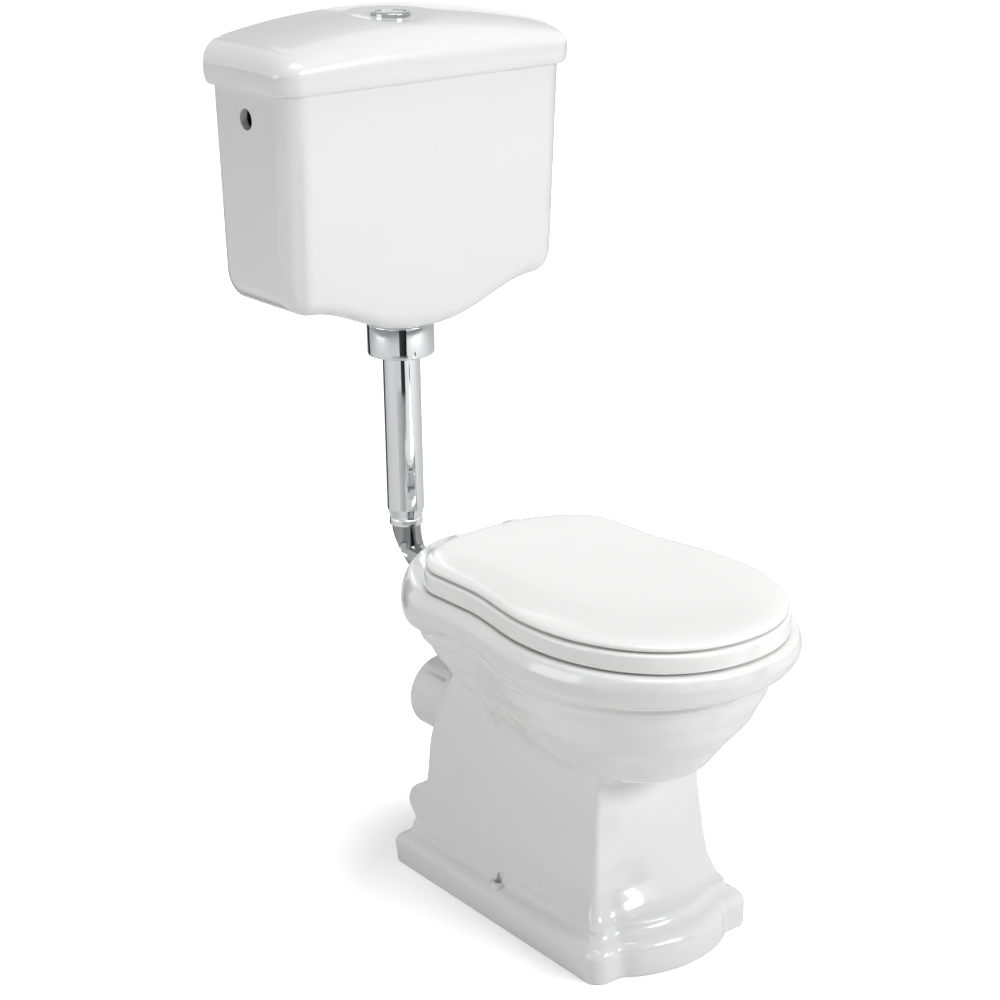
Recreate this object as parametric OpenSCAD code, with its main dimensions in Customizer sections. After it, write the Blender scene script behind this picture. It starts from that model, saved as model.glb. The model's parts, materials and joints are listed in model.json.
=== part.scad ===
// Low level toilet: a floor-standing china pan with a horizontal outlet, a seat and cover on a
// rear hinge, and a wall-hung china cistern that flushes through a short chrome pipe.
// Millimetres, +Z up. The origin is on the floor, midway between the wall and the front of the
// seat. The front faces -Y, the wall is at +Y, and X = 0 is the plane of symmetry.
// Sizes named as a distance run forward from the axis of the flush pipe.

/* [Overall] */
// Depth from the wall to the front of the pan
overall_d = 774; // [750:1:800]
// Height of the china rim above the floor
pan_h = 428; // [415:1:440]
// Distance from the wall to the axis of the flush pipe
pipe_to_wall = 92; // [90:1:110]

/* [Pan rim] */
// Width of the rim's top edge at its widest
rim_w = 352; // [340:1:362]
// Width of the rim at its waist
rim_waist_w = 304; // [296:1:312]
// Distance to the nose of the rim's top edge
rim_nose = 676; // [660:1:690]
// Distance to the tail of the rim
rim_tail = 90; // [84:1:98]
// How far the rounded band stands out from the rim's top edge
rim_bulge = 7; // [4:0.5:8]
// Height of the rounded band
band_h = 45; // [40:1:50]
// Height of the bead under the band, above the floor
bead_z = 375; // [368:1:380]
// Height of the bowl's underside above the floor
belly_z = 240; // [232:1:246]

/* [Bowl and trap] */
// Width of the opening inside the rim
bowl_w = 256; // [236:1:262]
// Distance to the front of the opening inside the rim
bowl_nose = 628; // [610:1:632]
// Distance to the back of the opening inside the rim
bowl_tail = 292; // [288:1:310]
// Depth of the rim's inner lip
lip_h = 30; // [24:1:32]
// Thickness of the rim's inner lip
lip_t = 12; // [8:1:14]
// Height of the still water, which is the weir of the trap
water_z = 240; // [234:1:246]
// Radius of the waterway through the trap
trap_r = 37; // [34:0.5:38]
// Wall around the trap
trap_wall = 9; // [7:0.5:10]
// Bend radius of the trap's centre line
trap_bend = 52; // [50:1:56]

/* [Foot] */
// Width of the plinth at the front
plinth_w = 256; // [250:1:262]
// Width of the plinth at the back
plinth_rear_w = 234; // [228:1:240]
// Distance to the front corners of the plinth
plinth_front = 544; // [538:1:552]
// Distance to the back of the plinth
plinth_back = 118; // [114:1:122]
// Height of the plinth's upright band
plinth_band = 31; // [26:1:34]
// How far the middle of the plinth bows forward
plinth_bow = 26; // [18:1:30]
// Radius of the plinth's front corners
plinth_corner = 20; // [14:1:24]
// Width of the pedestal at its narrowest
pedestal_w = 165; // [160:1:172]
// Distance to the front face of the pedestal
pedestal_front = 495; // [488:1:500]
// Distance to the back of the pedestal
pedestal_back = 152; // [149:1:156]
// Wall of the hollow foot
foot_wall = 15; // [12:1:16]
// Diameter of the two floor screw holes
floor_hole_d = 11; // [8:0.5:12]
// Distance between the two floor screw holes
floor_hole_gap = 216; // [212:1:218]
// Distance to the floor screw holes
floor_hole_at = 330; // [310:1:350]

/* [Outlet and inlet of the pan] */
// Outside diameter of the outlet spigot
spigot_od = 102; // [98:1:104]
// Wall of the spigot
spigot_wall = 8; // [6:0.5:9]
// Height of the spigot's axis above the floor
spigot_z = 201; // [198:1:205]
// Distance to the open end of the spigot
spigot_end = 67; // [62:1:80]
// Depth of the flush inlet's axis under the rim
inlet_drop = 54; // [51:1:58]
// Bore of the flush inlet
inlet_bore = 46; // [45:0.5:48]

/* [Seat and cover] */
// Width of the cover at its widest
cover_w = 326; // [316:1:332]
// Width of the cover at its waist
cover_waist_w = 290; // [284:1:296]
// Distance to the nose of the cover
cover_nose = 663; // [650:1:668]
// Distance to the tail of the cover
cover_tail = 174; // [172:1:178]
// Thickness of the cover
cover_t = 13.5; // [12:0.5:17]
// How much the cover is domed
cover_dome = 4; // [2:0.5:6]
// Thickness of the seat ring
seat_t = 21; // [18:1:22]
// How far the seat ring shows beyond the cover
seat_show = 3; // [1:0.5:4]
// Width of the opening in the seat
seat_hole_w = 214; // [200:1:222]
// Distance to the front of the opening in the seat
seat_hole_nose = 598; // [580:1:604]
// Distance to the back of the opening in the seat
seat_hole_tail = 308; // [300:1:320]
// Gap that the buffers keep under the seat
seat_gap = 5; // [4:0.5:7]
// Gap that the buffers keep under the cover
cover_gap = 2.5; // [2:0.5:4]
// Distance between the two seat bolts
seat_bolt_gap = 140; // [138:1:144]
// Diameter of the seat bolts
seat_bolt_d = 8; // [6:0.5:8]
// Height of the hinge axis above the rim
hinge_up = 12; // [11:0.5:13]
// Diameter of the hinge pins
hinge_pin_d = 7; // [6:0.5:8]
// Distance to the hinge axis
hinge_at = 162; // [160:1:163]

/* [Cistern] */
// Width of the cistern at its top edge
tank_w = 434; // [424:1:438]
// Width lost from the cistern's top edge down to its shoulders
tank_taper_w = 10; // [4:1:14]
// Depth of the cistern in front of the pipe axis at its top edge
tank_front = 86.5; // [84:0.5:90]
// Depth lost from the cistern's top edge down to its shoulders
tank_taper_d = 12; // [6:1:14]
// Height of the cistern's top edge above the floor
tank_top = 1028; // [1018:1:1036]
// Height of the cistern's shoulders above the floor
tank_side_z = 750; // [746:1:758]
// Height of the lowest point of the cistern's belly
tank_belly_z = 706; // [702:1:712]
// Half width over which the belly sweeps up to the shoulders
tank_belly_half = 186; // [176:1:192]
// Radius of the front upright corners
tank_corner = 34; // [28:1:38]
// Radius of the rear upright corners
tank_back_corner = 22; // [16:1:26]
// Radius of the front and rear bottom edges
tank_edge = 22; // [16:1:26]
// Radius of the lower corners seen from the front
tank_end_edge = 36; // [28:1:40]
// Wall of the cistern
tank_wall = 10; // [9:0.5:12]
// Diameter of the side inlet holes
side_hole_d = 27; // [25:0.5:28]
// Depth of the side inlet holes under the cistern's top edge
side_hole_drop = 36; // [32:1:42]
// Distance of the side inlet holes behind the pipe axis
side_hole_back = 8; // [4:1:12]
// Diameter of the two wall screw holes
wall_hole_d = 12; // [8:0.5:13]
// Distance between the two wall screw holes
wall_hole_gap = 280; // [240:1:300]
// Depth of the wall screw holes under the cistern's top edge
wall_hole_drop = 78; // [58:1:98]

/* [Cistern lid] */
// How far the lid stands out over the cistern
lid_over = 9; // [7:0.5:10]
// Height of the widest line of the lid's skirt
lid_belt = 24; // [20:1:28]
// Height of the lid's crown above the cistern's top edge
lid_rise = 77; // [73:1:81]
// How much the lid is arched from its crown to its ends
lid_arch = 22; // [16:1:26]
// How far back from its front edge the lid's top still rises
lid_run = 145; // [120:5:160]
// Width of the lid's rounded ends
lid_end = 26; // [20:1:30]
// Wall of the lid
lid_wall = 10; // [8:1:12]

/* [Flush button] */
// Diameter of the button's bezel
bezel_d = 50; // [48:1:52]
// Diameter of the push button
button_d = 40; // [38:0.5:41]
// Diameter of the hole in the lid
lid_hole_d = 46; // [45:0.5:47]
// Travel of the push button
button_travel = 6; // [4:0.5:7]

/* [Flush pipe] */
// Outside diameter of the upper tube
pipe_od = 50; // [49:0.5:51]
// Outside diameter of the lower bend
bend_od = 39; // [38:0.5:40]
// Wall of the chrome tubes
pipe_wall = 1.5; // [1:0.1:2]
// Outside diameter of the collar under the cistern
collar_d = 89; // [86:1:92]
// Height of the bottom of the collar above the floor
collar_z = 660; // [656:1:664]
// Bend radius of the lower tube's centre line
bend_r = 48; // [48:1:50]

/* [Hidden] */

china = [0.93, 0.93, 0.92];
seat_white = [0.97, 0.97, 0.97];
chrome = [0.76, 0.77, 0.79];
brass_tone = [0.80, 0.66, 0.36];
rubber_tone = [0.13, 0.13, 0.14];
grey_plastic = [0.74, 0.76, 0.79];
blue_plastic = [0.33, 0.52, 0.74];

// Small lengths shared by the pieces: a seat that just doesn't touch, a running fit, an overlap
near = 0.3;
running = 0.05;
over = 1;
round_fn = 64;

// Places along Y
wall_y = overall_d / 2;
pipe_y = wall_y - pipe_to_wall;
function fwd(d) = pipe_y - d;

// Heights that follow from the ones above
inlet_z = pan_h - inlet_drop;
pipe_low_z = inlet_z + bend_r;
side_hole_z = tank_top - side_hole_drop;
wall_hole_z = tank_top - wall_hole_drop;
tank_middle_z = mix(tank_side_z, tank_top, 0.53);

// Plain helpers
function ease(t) = 0.5 - 0.5 * cos(180 * t);
function mix(a, b, t) = a + (b - a) * t;
function clamp01(t) = min(1, max(0, t));

// Skin over a stack of closed rings that all have the same number of points
module skin(rings) {
    n = len(rings[0]);
    m = len(rings);
    polyhedron(points = [for (r = rings) each r], faces = concat(
        [for (i = [0:m - 2], j = [0:n - 1]) [i * n + j, (i + 1) * n + (j + 1) % n, i * n + (j + 1) % n]],
        [for (i = [0:m - 2], j = [0:n - 1]) [i * n + j, (i + 1) * n + j, (i + 1) * n + (j + 1) % n]],
        [[for (j = [0:n - 1]) j]],
        [[for (j = [n - 1:-1:0]) (m - 1) * n + j]]), convexity = 10);
}

// Skin over rings that come back to the first one, for a closed ring of material
module loop_skin(rings) {
    n = len(rings[0]);
    m = len(rings);
    polyhedron(points = [for (r = rings) each r], faces = [for (i = [0:m - 1], j = [0:n - 1])
        let (k = (j + 1) % n, u = (i + 1) % m)
        each [[i * n + j, u * n + k, i * n + k], [i * n + j, u * n + j, u * n + k]]], convexity = 10);
}

// A half outline that runs from the nose to the tail on the +X side, completed on the -X side
function both_sides(half) = concat(half, [for (i = [len(half) - 2:-1:1]) [-half[i][0], half[i][1]]]);
function at_z(outline, z) = [for (p = outline) [p[0], p[1], z]];

// Violin-shaped plan: round nose, S-shaped waist and rounded tail; d is [nose, wide, waist, rear, tail]
function violin(w, waist, d, p, q) = both_sides(concat(
    [for (i = [0:12]) let (a = 90 * i / 12)
        [w * pow(sin(a), 2 / p), fwd(mix(d[1], d[0], pow(cos(a), 2 / p)))]],
    [for (i = [1:5]) [mix(w, waist, ease(i / 5)), fwd(mix(d[1], d[2], i / 5))]],
    [[waist, fwd(d[3])]],
    [for (i = [1:10]) let (a = 9 * i)
        [i == 10 ? 0 : waist * pow(cos(a), 2 / q), fwd(mix(d[3], d[4], pow(sin(a), 2 / q)))]]));
// Egg-shaped plan; d is [nose, wide, tail]
function egg(w, d, p = 2.1) = both_sides(concat(
    [for (i = [0:12]) let (a = 90 * i / 12)
        [w * pow(sin(a), 2 / p), fwd(mix(d[1], d[0], pow(cos(a), 2 / p)))]],
    [for (i = [1:12]) let (a = 90 * i / 12)
        [i == 12 ? 0 : w * pow(cos(a), 2 / p), fwd(mix(d[1], d[2], pow(sin(a), 2 / p)))]]));

// Places along the rim where it is widest, where the waist starts and where the tail rounds off
wide_at = 463;
waist_at = 320;
tail_from = 240;

// PAN: the outer bowl is a stack of violins, each set by its height, width and nose
rim_p = 2.15;
rim_q = 1.6;
rear_drop = 20;
// Insets from the rim's top edge: [height under the rim, side, nose, tail, share of the rear drop]
band_rings = [
    [0, 4, 4, 4, 0], [2, 0.8, 0.8, 1, 0], [7, -2.5, -0.5, -3, 0],
    [16, -rim_bulge + 1, -rim_bulge + 6, -7, 0.1], [25, -rim_bulge, -rim_bulge + 9, -9, 0.25],
    [34, -rim_bulge + 1, -rim_bulge + 14, -8, 0.5], [band_h - 4, -1, 14, -1, 0.75],
    [band_h, 6, 26, 11, 0.8], [band_h + 3, 10, 36, 20, 0.8]
];
// Insets from the bead: [height above the floor, inset all round, how far the tail has come in]
belly_rings = [
    [bead_z, 0, 30], [bead_z - 4, 0.5, 34], [bead_z - 8, 4.5, 44], [350, 9, 66], [335, 17, 84],
    [320, 24, 105], [300, 39, 131], [288, 50, 147], [275, 60, 165], [262, 70, 184], [252, 78, 198]
];
bead_half = 170;
bead_nose = 642;
bead_wide = 440;
bead_waist = 148;

function band_ring(r) = let (
        half = rim_w / 2 - r[1],
        outline = violin(half, rim_waist_w / 2 - (r[1] < 0 ? 1.4 : 1) * r[1],
            [rim_nose - r[2], wide_at - r[2] * 0.5, waist_at, tail_from, rim_tail + r[3]], rim_p, rim_q))
    [for (q = outline) [q[0], q[1],
        pan_h - r[0] - rear_drop * r[4] * ease(clamp01((q[1] - fwd(waist_at)) / 150))]];
function bead_drop_at(y, z) = rear_drop * ease(clamp01((y - fwd(waist_at)) / 150))
    * clamp01((z - 300) / (bead_z - 300));
function belly_ring(r) = let (low = clamp01((bead_z - r[0]) / (bead_z - 250)),
        outline = violin(bead_half - r[1], mix(bead_waist, 157, low) - r[1],
            [bead_nose - r[1], bead_wide, waist_at - 6 * low, min(tail_from + r[2] * 0.45, 312 - 6 * low),
             rim_tail + r[2]], rim_p, mix(rim_q, 2, low)))
    [for (q = outline) [q[0], q[1], r[0] - bead_drop_at(q[1], r[0])]];
belly_cap = at_z(violin(82, 78, [548, bead_wide, 314, 312, 300], rim_p, 2), belly_z + 4);
belly_floor = at_z(violin(72, 68, [535, bead_wide, 318, 316, 306], rim_p, 2), belly_z);

module bowl_outside() {
    lower = [for (i = [len(belly_rings) - 1:-1:0]) belly_ring(belly_rings[i])];
    upper = [for (i = [len(band_rings) - 1:-1:0]) band_ring(band_rings[i])];
    skin(concat([belly_floor, belly_cap], lower, upper));
}

// Foot plan: bowed front, tapered sides; r is [front half, rear half, front, rear, bow, corner]
function foot_plan(r) = let (c = r[5], straight = r[0] - c, wave = straight * 0.78) both_sides(concat(
    [for (i = [0:6]) let (x = wave * i / 6) [x, fwd(r[2] + r[4] * (0.5 + 0.5 * cos(180 * x / wave)))]],
    [[straight, fwd(r[2])]],
    [for (i = [1:4]) let (a = 22.5 * i) [straight + c * sin(a), fwd(r[2] - c * (1 - cos(a)))]],
    [for (i = [1:4]) let (t = i / 5) [mix(r[0], r[1], t), fwd(mix(r[2] - c, r[3] + 6, t))]],
    [for (i = [0:3]) let (a = 30 * i) [r[1] - 6 * (1 - cos(a)), fwd(r[3] + 6 - 6 * sin(a))]],
    [[r[1] / 2, fwd(r[3])], [0, fwd(r[3])]]));
// Foot sections: [height, half width, front, rear, bow, corner], from the floor to inside the bowl
half_f = plinth_w / 2;
half_r = plinth_rear_w / 2;
half_p = pedestal_w / 2;
foot_rings = [
    [0, half_f, plinth_front, plinth_back, plinth_bow, plinth_corner],
    [plinth_band, half_f, plinth_front, plinth_back, plinth_bow, plinth_corner],
    [36, half_f - 1.5, plinth_front - 1.5, plinth_back + 1.5, plinth_bow, 19],
    [41, half_f - 5, plinth_front - 5, plinth_back + 5, plinth_bow, 18],
    [45, half_f - 10, plinth_front - 10, plinth_back + 10, plinth_bow, 16],
    [48, half_f - 15, plinth_front - 15, plinth_back + 15, 24, 15],
    [54, half_f - 18.5, plinth_front - 19, plinth_back + 18, 22, 14],
    [61, half_f - 20, plinth_front - 21, plinth_back + 19, 20, 13],
    [63, half_f - 22.5, plinth_front - 26, plinth_back + 20, 18, 12],
    [70, half_f - 24.5, pedestal_front + 17, plinth_back + 17, 14, 11],
    [77, half_p + 18, pedestal_front + 14, plinth_back + 6, 11, 10],
    [86, half_p + 15, pedestal_front + 11, plinth_back - 1, 8, 9],
    [96, half_p + 12.5, pedestal_front + 8, plinth_back, 5, 9],
    [106, half_p + 11, pedestal_front + 7, plinth_back + 9, 4, 8],
    [114, half_p + 9.8, pedestal_front + 6, plinth_back + 22, 2, 8],
    [120, half_p + 9, pedestal_front + 5, pedestal_back - 2, 1, 8],
    [140, half_p + 6.8, pedestal_front + 3.5, pedestal_back, 0, 7],
    [170, half_p + 3.6, pedestal_front + 1.5, pedestal_back, 0, 7],
    [200, half_p + 1.2, pedestal_front, pedestal_back + 6, 0, 7],
    [230, half_p, pedestal_front, pedestal_back + 20, 0, 7],
    [266, half_p, pedestal_front - 2, pedestal_back + 38, 0, 7],
    [300, half_p - 2, pedestal_front - 8, pedestal_back + 55, 0, 7],
    [316, half_p - 4, pedestal_front - 12, pedestal_back + 64, 0, 7]
];
// The foot narrows a little towards its back, fully at the plinth and hardly at the pedestal
function foot_ring(r) = at_z(foot_plan([r[1], r[1] - mix(half_f - half_r, 2, clamp01(r[0] / 90)),
    r[2], r[3], r[4], r[5]]), r[0]);
module foot_outside() {
    skin([for (r = foot_rings) foot_ring(r)]);
}

// The hollow under the foot follows the same sections, one wall inside them
hollow_top = belly_z - 8;
function hollow_ring(z, side, front, rear, bow) = at_z(foot_plan([side - foot_wall,
    side - foot_wall - mix(half_f - half_r, 2, clamp01(z / 90)), front - foot_wall, rear + foot_wall,
    bow, 8]), z);
module foot_hollow() {
    skin([
        hollow_ring(-over, half_f, plinth_front, plinth_back, plinth_bow),
        hollow_ring(plinth_band, half_f, plinth_front, plinth_back, plinth_bow),
        hollow_ring(50, half_f - 16, plinth_front - 16, plinth_back + 16, 22),
        hollow_ring(70, half_f - 26, pedestal_front + 15, plinth_back + 24, 12),
        hollow_ring(100, half_p + 11, pedestal_front + 6, pedestal_back, 3),
        hollow_ring(140, half_p + 6, pedestal_front + 3, pedestal_back + 1, 0),
        hollow_ring(200, half_p + 1, pedestal_front, pedestal_back + 7, 0),
        hollow_ring(hollow_top, half_p - 1, pedestal_front - 2, pedestal_back + 24, 0)
    ]);
}

// Inside of the bowl: lip, flushing rim, funnel and sump, as [height, half width, nose, wide, tail]
channel_z = pan_h - 14;
lip_z = pan_h - lip_h;
sump_floor = water_z - 118;
bowl_rings = [
    [sump_floor, 20, 415, 390, 368], [sump_floor + 10, 34, 430, 395, 358],
    [sump_floor + 33, 48, 446, 405, 352], [sump_floor + 63, 57, 458, 415, 350],
    [sump_floor + 93, 63, 468, 420, 344], [belly_z, 67, 478, 425, 338],
    [belly_z + 16, 76, 530, 436, 330], [268, 88, 555, 440, 324], [284, 101, 572, 440, 316],
    [300, 115, 587, 440, 309], [320, 130, 602, 440, 300], [340, 139, 611, 440, 293],
    [360, 147, 620, 441, 285], [380, 151, 625, 446, 280],
    [lip_z, bowl_w / 2 + lip_t + 16, bowl_nose + lip_t + 15, 455, bowl_tail - 16],
    [channel_z, bowl_w / 2 + lip_t + 15, bowl_nose + lip_t + 14, 455, bowl_tail - 16],
    [channel_z, bowl_w / 2 + lip_t, bowl_nose + lip_t, 455, bowl_tail - 6],
    [lip_z, bowl_w / 2 + lip_t - 2, bowl_nose + lip_t - 2, 455, bowl_tail - 5],
    [lip_z, bowl_w / 2 + 1, bowl_nose + 1, 455, bowl_tail - 1],
    [lip_z + 4, bowl_w / 2, bowl_nose, 455, bowl_tail],
    [pan_h - 4, bowl_w / 2, bowl_nose, 455, bowl_tail],
    [pan_h, bowl_w / 2 + 3, bowl_nose + 3, 455, bowl_tail - 3],
    [pan_h + over, bowl_w / 2 + 3, bowl_nose + 3, 455, bowl_tail - 3]
];
module bowl_inside() {
    skin([for (r = bowl_rings) at_z(egg(r[1], [r[2], r[3], r[4]]), r[0])]);
}
// China that closes the sump inside the hollow foot
module sump_shell() {
    skin([for (r = [for (i = [0:5]) bowl_rings[i]])
        at_z(egg(r[1] + trap_wall + 1, [r[2] + trap_wall + 1, r[3], r[4] - 12]),
            r[0] == sump_floor ? sump_floor - trap_wall - 4 : r[0] + (r[0] == belly_z ? 6 : 0))]);
}

// Centre line of the trap: along the sump, up to the weir, over the crest and down to the spigot
dip_at = 348;
dip_z = water_z - 90;
rise_angle = 68;
fall_angle = 50;
crest_z = water_z + trap_r;
rise_len = (crest_z - trap_bend - dip_z - trap_bend + 2 * trap_bend * cos(rise_angle)) / sin(rise_angle);
rise_d = dip_at - trap_bend * sin(rise_angle);
crest_at = rise_d - rise_len * cos(rise_angle) - trap_bend * sin(rise_angle);
fall_d = crest_at - trap_bend * sin(fall_angle);
fall_z = crest_z - trap_bend * (1 - cos(fall_angle));
fall_len = (fall_z - spigot_z - trap_bend * (1 - cos(fall_angle))) / sin(fall_angle);
level_d = fall_d - fall_len * cos(fall_angle) - trap_bend * sin(fall_angle);
// Stations as [distance, height, heading], where the heading is 0 along +Y and 90 upwards
trap_path = concat(
    [[dip_at + 70, dip_z, 0]],
    [for (a = [0:17:rise_angle]) [dip_at - trap_bend * sin(a), dip_z + trap_bend * (1 - cos(a)), a]],
    [for (i = [0:7]) let (a = mix(rise_angle, -fall_angle, i / 7))
        [crest_at + trap_bend * sin(a), crest_z - trap_bend * (1 - cos(a)), a]],
    [for (a = [-fall_angle:12.5:0])
        [level_d - trap_bend * sin(a), spigot_z + trap_bend * (1 - cos(a)), a]]);
module trap_sweep(r) {
    skin([for (s = trap_path) [for (i = [0:19]) let (a = 18 * i)
        [-r * cos(a), fwd(s[0]) - r * sin(a) * sin(s[2]), s[1] + r * sin(a) * cos(s[2])]]]);
}

// Cylinders along Y between two distances from the pipe axis, and upright cylinders
module along_y(r, d_front, d_back, z, x = 0) {
    translate([x, fwd(d_front), z]) rotate([-90, 0, 0]) cylinder(r = r, h = d_front - d_back, $fn = round_fn);
}
module upright(r, z0, z1, x = 0, y = 0) {
    translate([x, y, z0]) cylinder(r = r, h = z1 - z0, $fn = round_fn);
}
module along_x(r, x0, x1, y, z) {
    translate([x0, y, z]) rotate([0, 90, 0]) cylinder(r = r, h = x1 - x0, $fn = round_fn);
}

spigot_r = spigot_od / 2;
spigot_bore_r = spigot_r - spigot_wall;
spigot_edge = 3;
inlet_r = inlet_bore / 2;
inlet_boss_r = inlet_r + 10;
inlet_face = rim_tail - 10;
chamber_front = bowl_tail - 30;
chamber_back = rim_tail + 38;
chamber_half = seat_bolt_gap / 2 - 25;
deck_t = 24;
bolt_pocket_r = 19;
bolt_hole_r = seat_bolt_d / 2 + 1.5;
floor_pad_z = 52;
floor_pad_r = floor_hole_d / 2 + 6;

// The spigot grows out of a thicker root in the back of the pedestal. Under the bowl's back it is a
// little thinner, and the wall that takes the soil pipe's connector starts clear of the bowl
spigot_root_d = pedestal_back + 42;
root_step = 6;
relief = 0.8;
relief_w = 26;
module spigot() {
    root_len = spigot_root_d - pedestal_back + 3;
    whole_len = spigot_root_d - spigot_end;
    translate([0, fwd(spigot_root_d), spigot_z]) rotate([-90, 0, 0]) rotate_extrude($fn = round_fn)
        polygon([
            [0, 0], [spigot_r + root_step, 0], [spigot_r + root_step, root_len],
            [spigot_r - relief, root_len + root_step], [spigot_r - relief, root_len + root_step + relief_w],
            [spigot_r, root_len + root_step + relief_w], [spigot_r, whole_len - spigot_edge],
            [spigot_r - spigot_edge, whole_len], [0, whole_len]
        ]);
}

// Makes one mesh of its children at their own size, so that the many small faces are joined quickly
module as_one_mesh() {
    resize([0, 0, 0]) union() children();
}

module pan_china() {
    difference() {
        union() {
            difference() {
                union() {
                    bowl_outside();
                    foot_outside();
                }
                foot_hollow();
            }
            sump_shell();
            trap_sweep(trap_r + trap_wall);
            for (s = [-1, 1]) upright(floor_pad_r, 0, floor_pad_z, s * floor_hole_gap / 2, fwd(floor_hole_at));
        }
        bowl_inside();
    }
}

module pan() {
    color(china) difference() {
        union() {
            as_one_mesh() pan_china();
            spigot();
            along_y(inlet_boss_r, chamber_back + 20, inlet_face, inlet_z);
        }
        trap_sweep(trap_r);
        along_y(spigot_bore_r, level_d + 3, spigot_end - over, spigot_z);
        // Flush inlet, the chamber behind the rim, its opening to the bowl and the rim's feed holes
        along_y(inlet_r, chamber_back + 20, inlet_face - over, inlet_z);
        translate([-chamber_half, fwd(chamber_front), inlet_z - inlet_r])
            cube([2 * chamber_half, chamber_front - chamber_back, inlet_r + pan_h - 18 - inlet_z]);
        along_y(inlet_r - 3, bowl_tail + 12, chamber_front - over, inlet_z);
        for (s = [-1, 1]) along_y(5, bowl_tail + 4, chamber_front - over, channel_z - 6, s * 30);
        for (s = [-1, 1]) {
            // Seat bolt holes, each with a pocket under the deck for its wing nut
            upright(bolt_hole_r, pan_h - deck_t - over, pan_h + over, s * seat_bolt_gap / 2, fwd(hinge_at));
            upright(bolt_pocket_r, 290, pan_h - deck_t, s * seat_bolt_gap / 2, fwd(hinge_at));
            // Floor screw holes
            upright(floor_hole_d / 2, -over, 80, s * floor_hole_gap / 2, fwd(floor_hole_at));
        }
    }
}

// SEAT AND COVER
seat_z = pan_h + seat_gap;
seat_top = seat_z + seat_t;
cover_z = seat_top + cover_gap;
cover_top = cover_z + cover_t;
cover_edge = cover_top - cover_dome;
hinge_z = pan_h + hinge_up;
hinge_y = fwd(hinge_at);
barrel_r = 8;
pin_r = hinge_pin_d / 2;
post_x = seat_bolt_gap / 2;
post_half = 7;
lug_w = 12;
seat_lug_x = post_x - post_half - near - lug_w / 2;
cover_lug_x = seat_lug_x - near - lug_w;
strap_t = 12;
post_foot_t = 3.5;
bolt_top = hinge_z - pin_r - 1;
bolt_low = pan_h - deck_t - 34;
// Outline of the cover, drawn in by e all round
function cover_outline(e) = violin(cover_w / 2 - e, cover_waist_w / 2 - e,
    [cover_nose - e, wide_at, waist_at, 264, cover_tail + e], 2.15, 2.1);
function seat_hole_outline(e) = violin(seat_hole_w / 2 + e, seat_hole_w / 2 + e - 6,
    [seat_hole_nose + e, 470, 420, 400, seat_hole_tail - e], 2.1, 2.1);

// A lug: a barrel on the hinge axis with an arm between two distances and two heights
module lug(x, d_front, d_back, z0, z1) {
    along_x(barrel_r, x - lug_w / 2, x + lug_w / 2, hinge_y, hinge_z);
    translate([x - lug_w / 2, fwd(d_front), z0]) cube([lug_w, d_front - d_back, z1 - z0]);
}
module lug_bore(x) {
    along_x(pin_r + running, x - lug_w / 2 - over, x + lug_w / 2 + over, hinge_y, hinge_z);
}
// Shallow sockets that locate the rubber buffers, [x, distance] of each
seat_buffer_spots = [[112, 560], [128, 330]];
cover_buffer_spots = [[122, 540], [118, 330]];
buffer_r = 7;
socket_depth = 3;

module seat_ring() {
    color(seat_white) difference() {
        union() {
            loop_skin([
                at_z(cover_outline(4 - seat_show), seat_z), at_z(cover_outline(-seat_show), seat_z + 5),
                at_z(cover_outline(-seat_show), seat_z + 13), at_z(cover_outline(1 - seat_show), seat_z + 17),
                at_z(cover_outline(5 - seat_show), seat_top), at_z(seat_hole_outline(14), seat_top),
                at_z(seat_hole_outline(6), seat_top - 2), at_z(seat_hole_outline(1), seat_top - 6),
                at_z(seat_hole_outline(0), seat_z + 8), at_z(seat_hole_outline(3), seat_z)
            ]);
            for (s = [-1, 1]) lug(s * seat_lug_x, cover_tail + 30, hinge_at, hinge_z - 5, hinge_z + 7);
        }
        for (s = [-1, 1]) lug_bore(s * seat_lug_x);
        for (s = [-1, 1], b = seat_buffer_spots)
            upright(buffer_r, seat_z - over, seat_z + socket_depth, s * b[0], fwd(b[1]));
    }
}

module seat_buffers() {
    color(rubber_tone) for (s = [-1, 1], b = seat_buffer_spots)
        upright(buffer_r, pan_h, seat_z + socket_depth, s * b[0], fwd(b[1]));
}

// A strap drops behind the seat's tail from the cover to its barrel on the hinge axis
module cover_strap(x) {
    along_x(barrel_r, x - lug_w / 2, x + lug_w / 2, hinge_y, hinge_z);
    translate([x - lug_w / 2, 0, 0]) rotate([90, 0, 90]) linear_extrude(lug_w) polygon([
        [fwd(cover_tail + 20), cover_z], [fwd(hinge_at + strap_t / 2 + 1), cover_z],
        [fwd(hinge_at + strap_t / 2 + 1), hinge_z], [fwd(hinge_at - strap_t / 2), hinge_z],
        [fwd(hinge_at - strap_t / 2 + 1.5), cover_z - 5], [fwd(hinge_at), cover_z + 0.5],
        [fwd(hinge_at + strap_t / 2 + 2), cover_z + 4], [fwd(cover_tail + 4), cover_edge - 2],
        [fwd(cover_tail + 20), cover_edge - 2]
    ]);
}

module seat_cover() {
    color(seat_white) difference() {
        union() {
            skin([
                at_z(cover_outline(2.5), cover_z), at_z(cover_outline(0), cover_z + 3),
                at_z(cover_outline(0), cover_edge - 4.5), at_z(cover_outline(1.8), cover_edge - 1.6),
                at_z(cover_outline(6), cover_edge), at_z(cover_outline(16), cover_edge + cover_dome * 0.4),
                at_z(cover_outline(40), cover_top - cover_dome * 0.2), at_z(cover_outline(75), cover_top)
            ]);
            for (s = [-1, 1]) cover_strap(s * cover_lug_x);
        }
        for (s = [-1, 1]) lug_bore(s * cover_lug_x);
        for (s = [-1, 1], b = cover_buffer_spots)
            upright(buffer_r, cover_z - over, cover_z + socket_depth, s * b[0], fwd(b[1]));
    }
}

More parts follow.
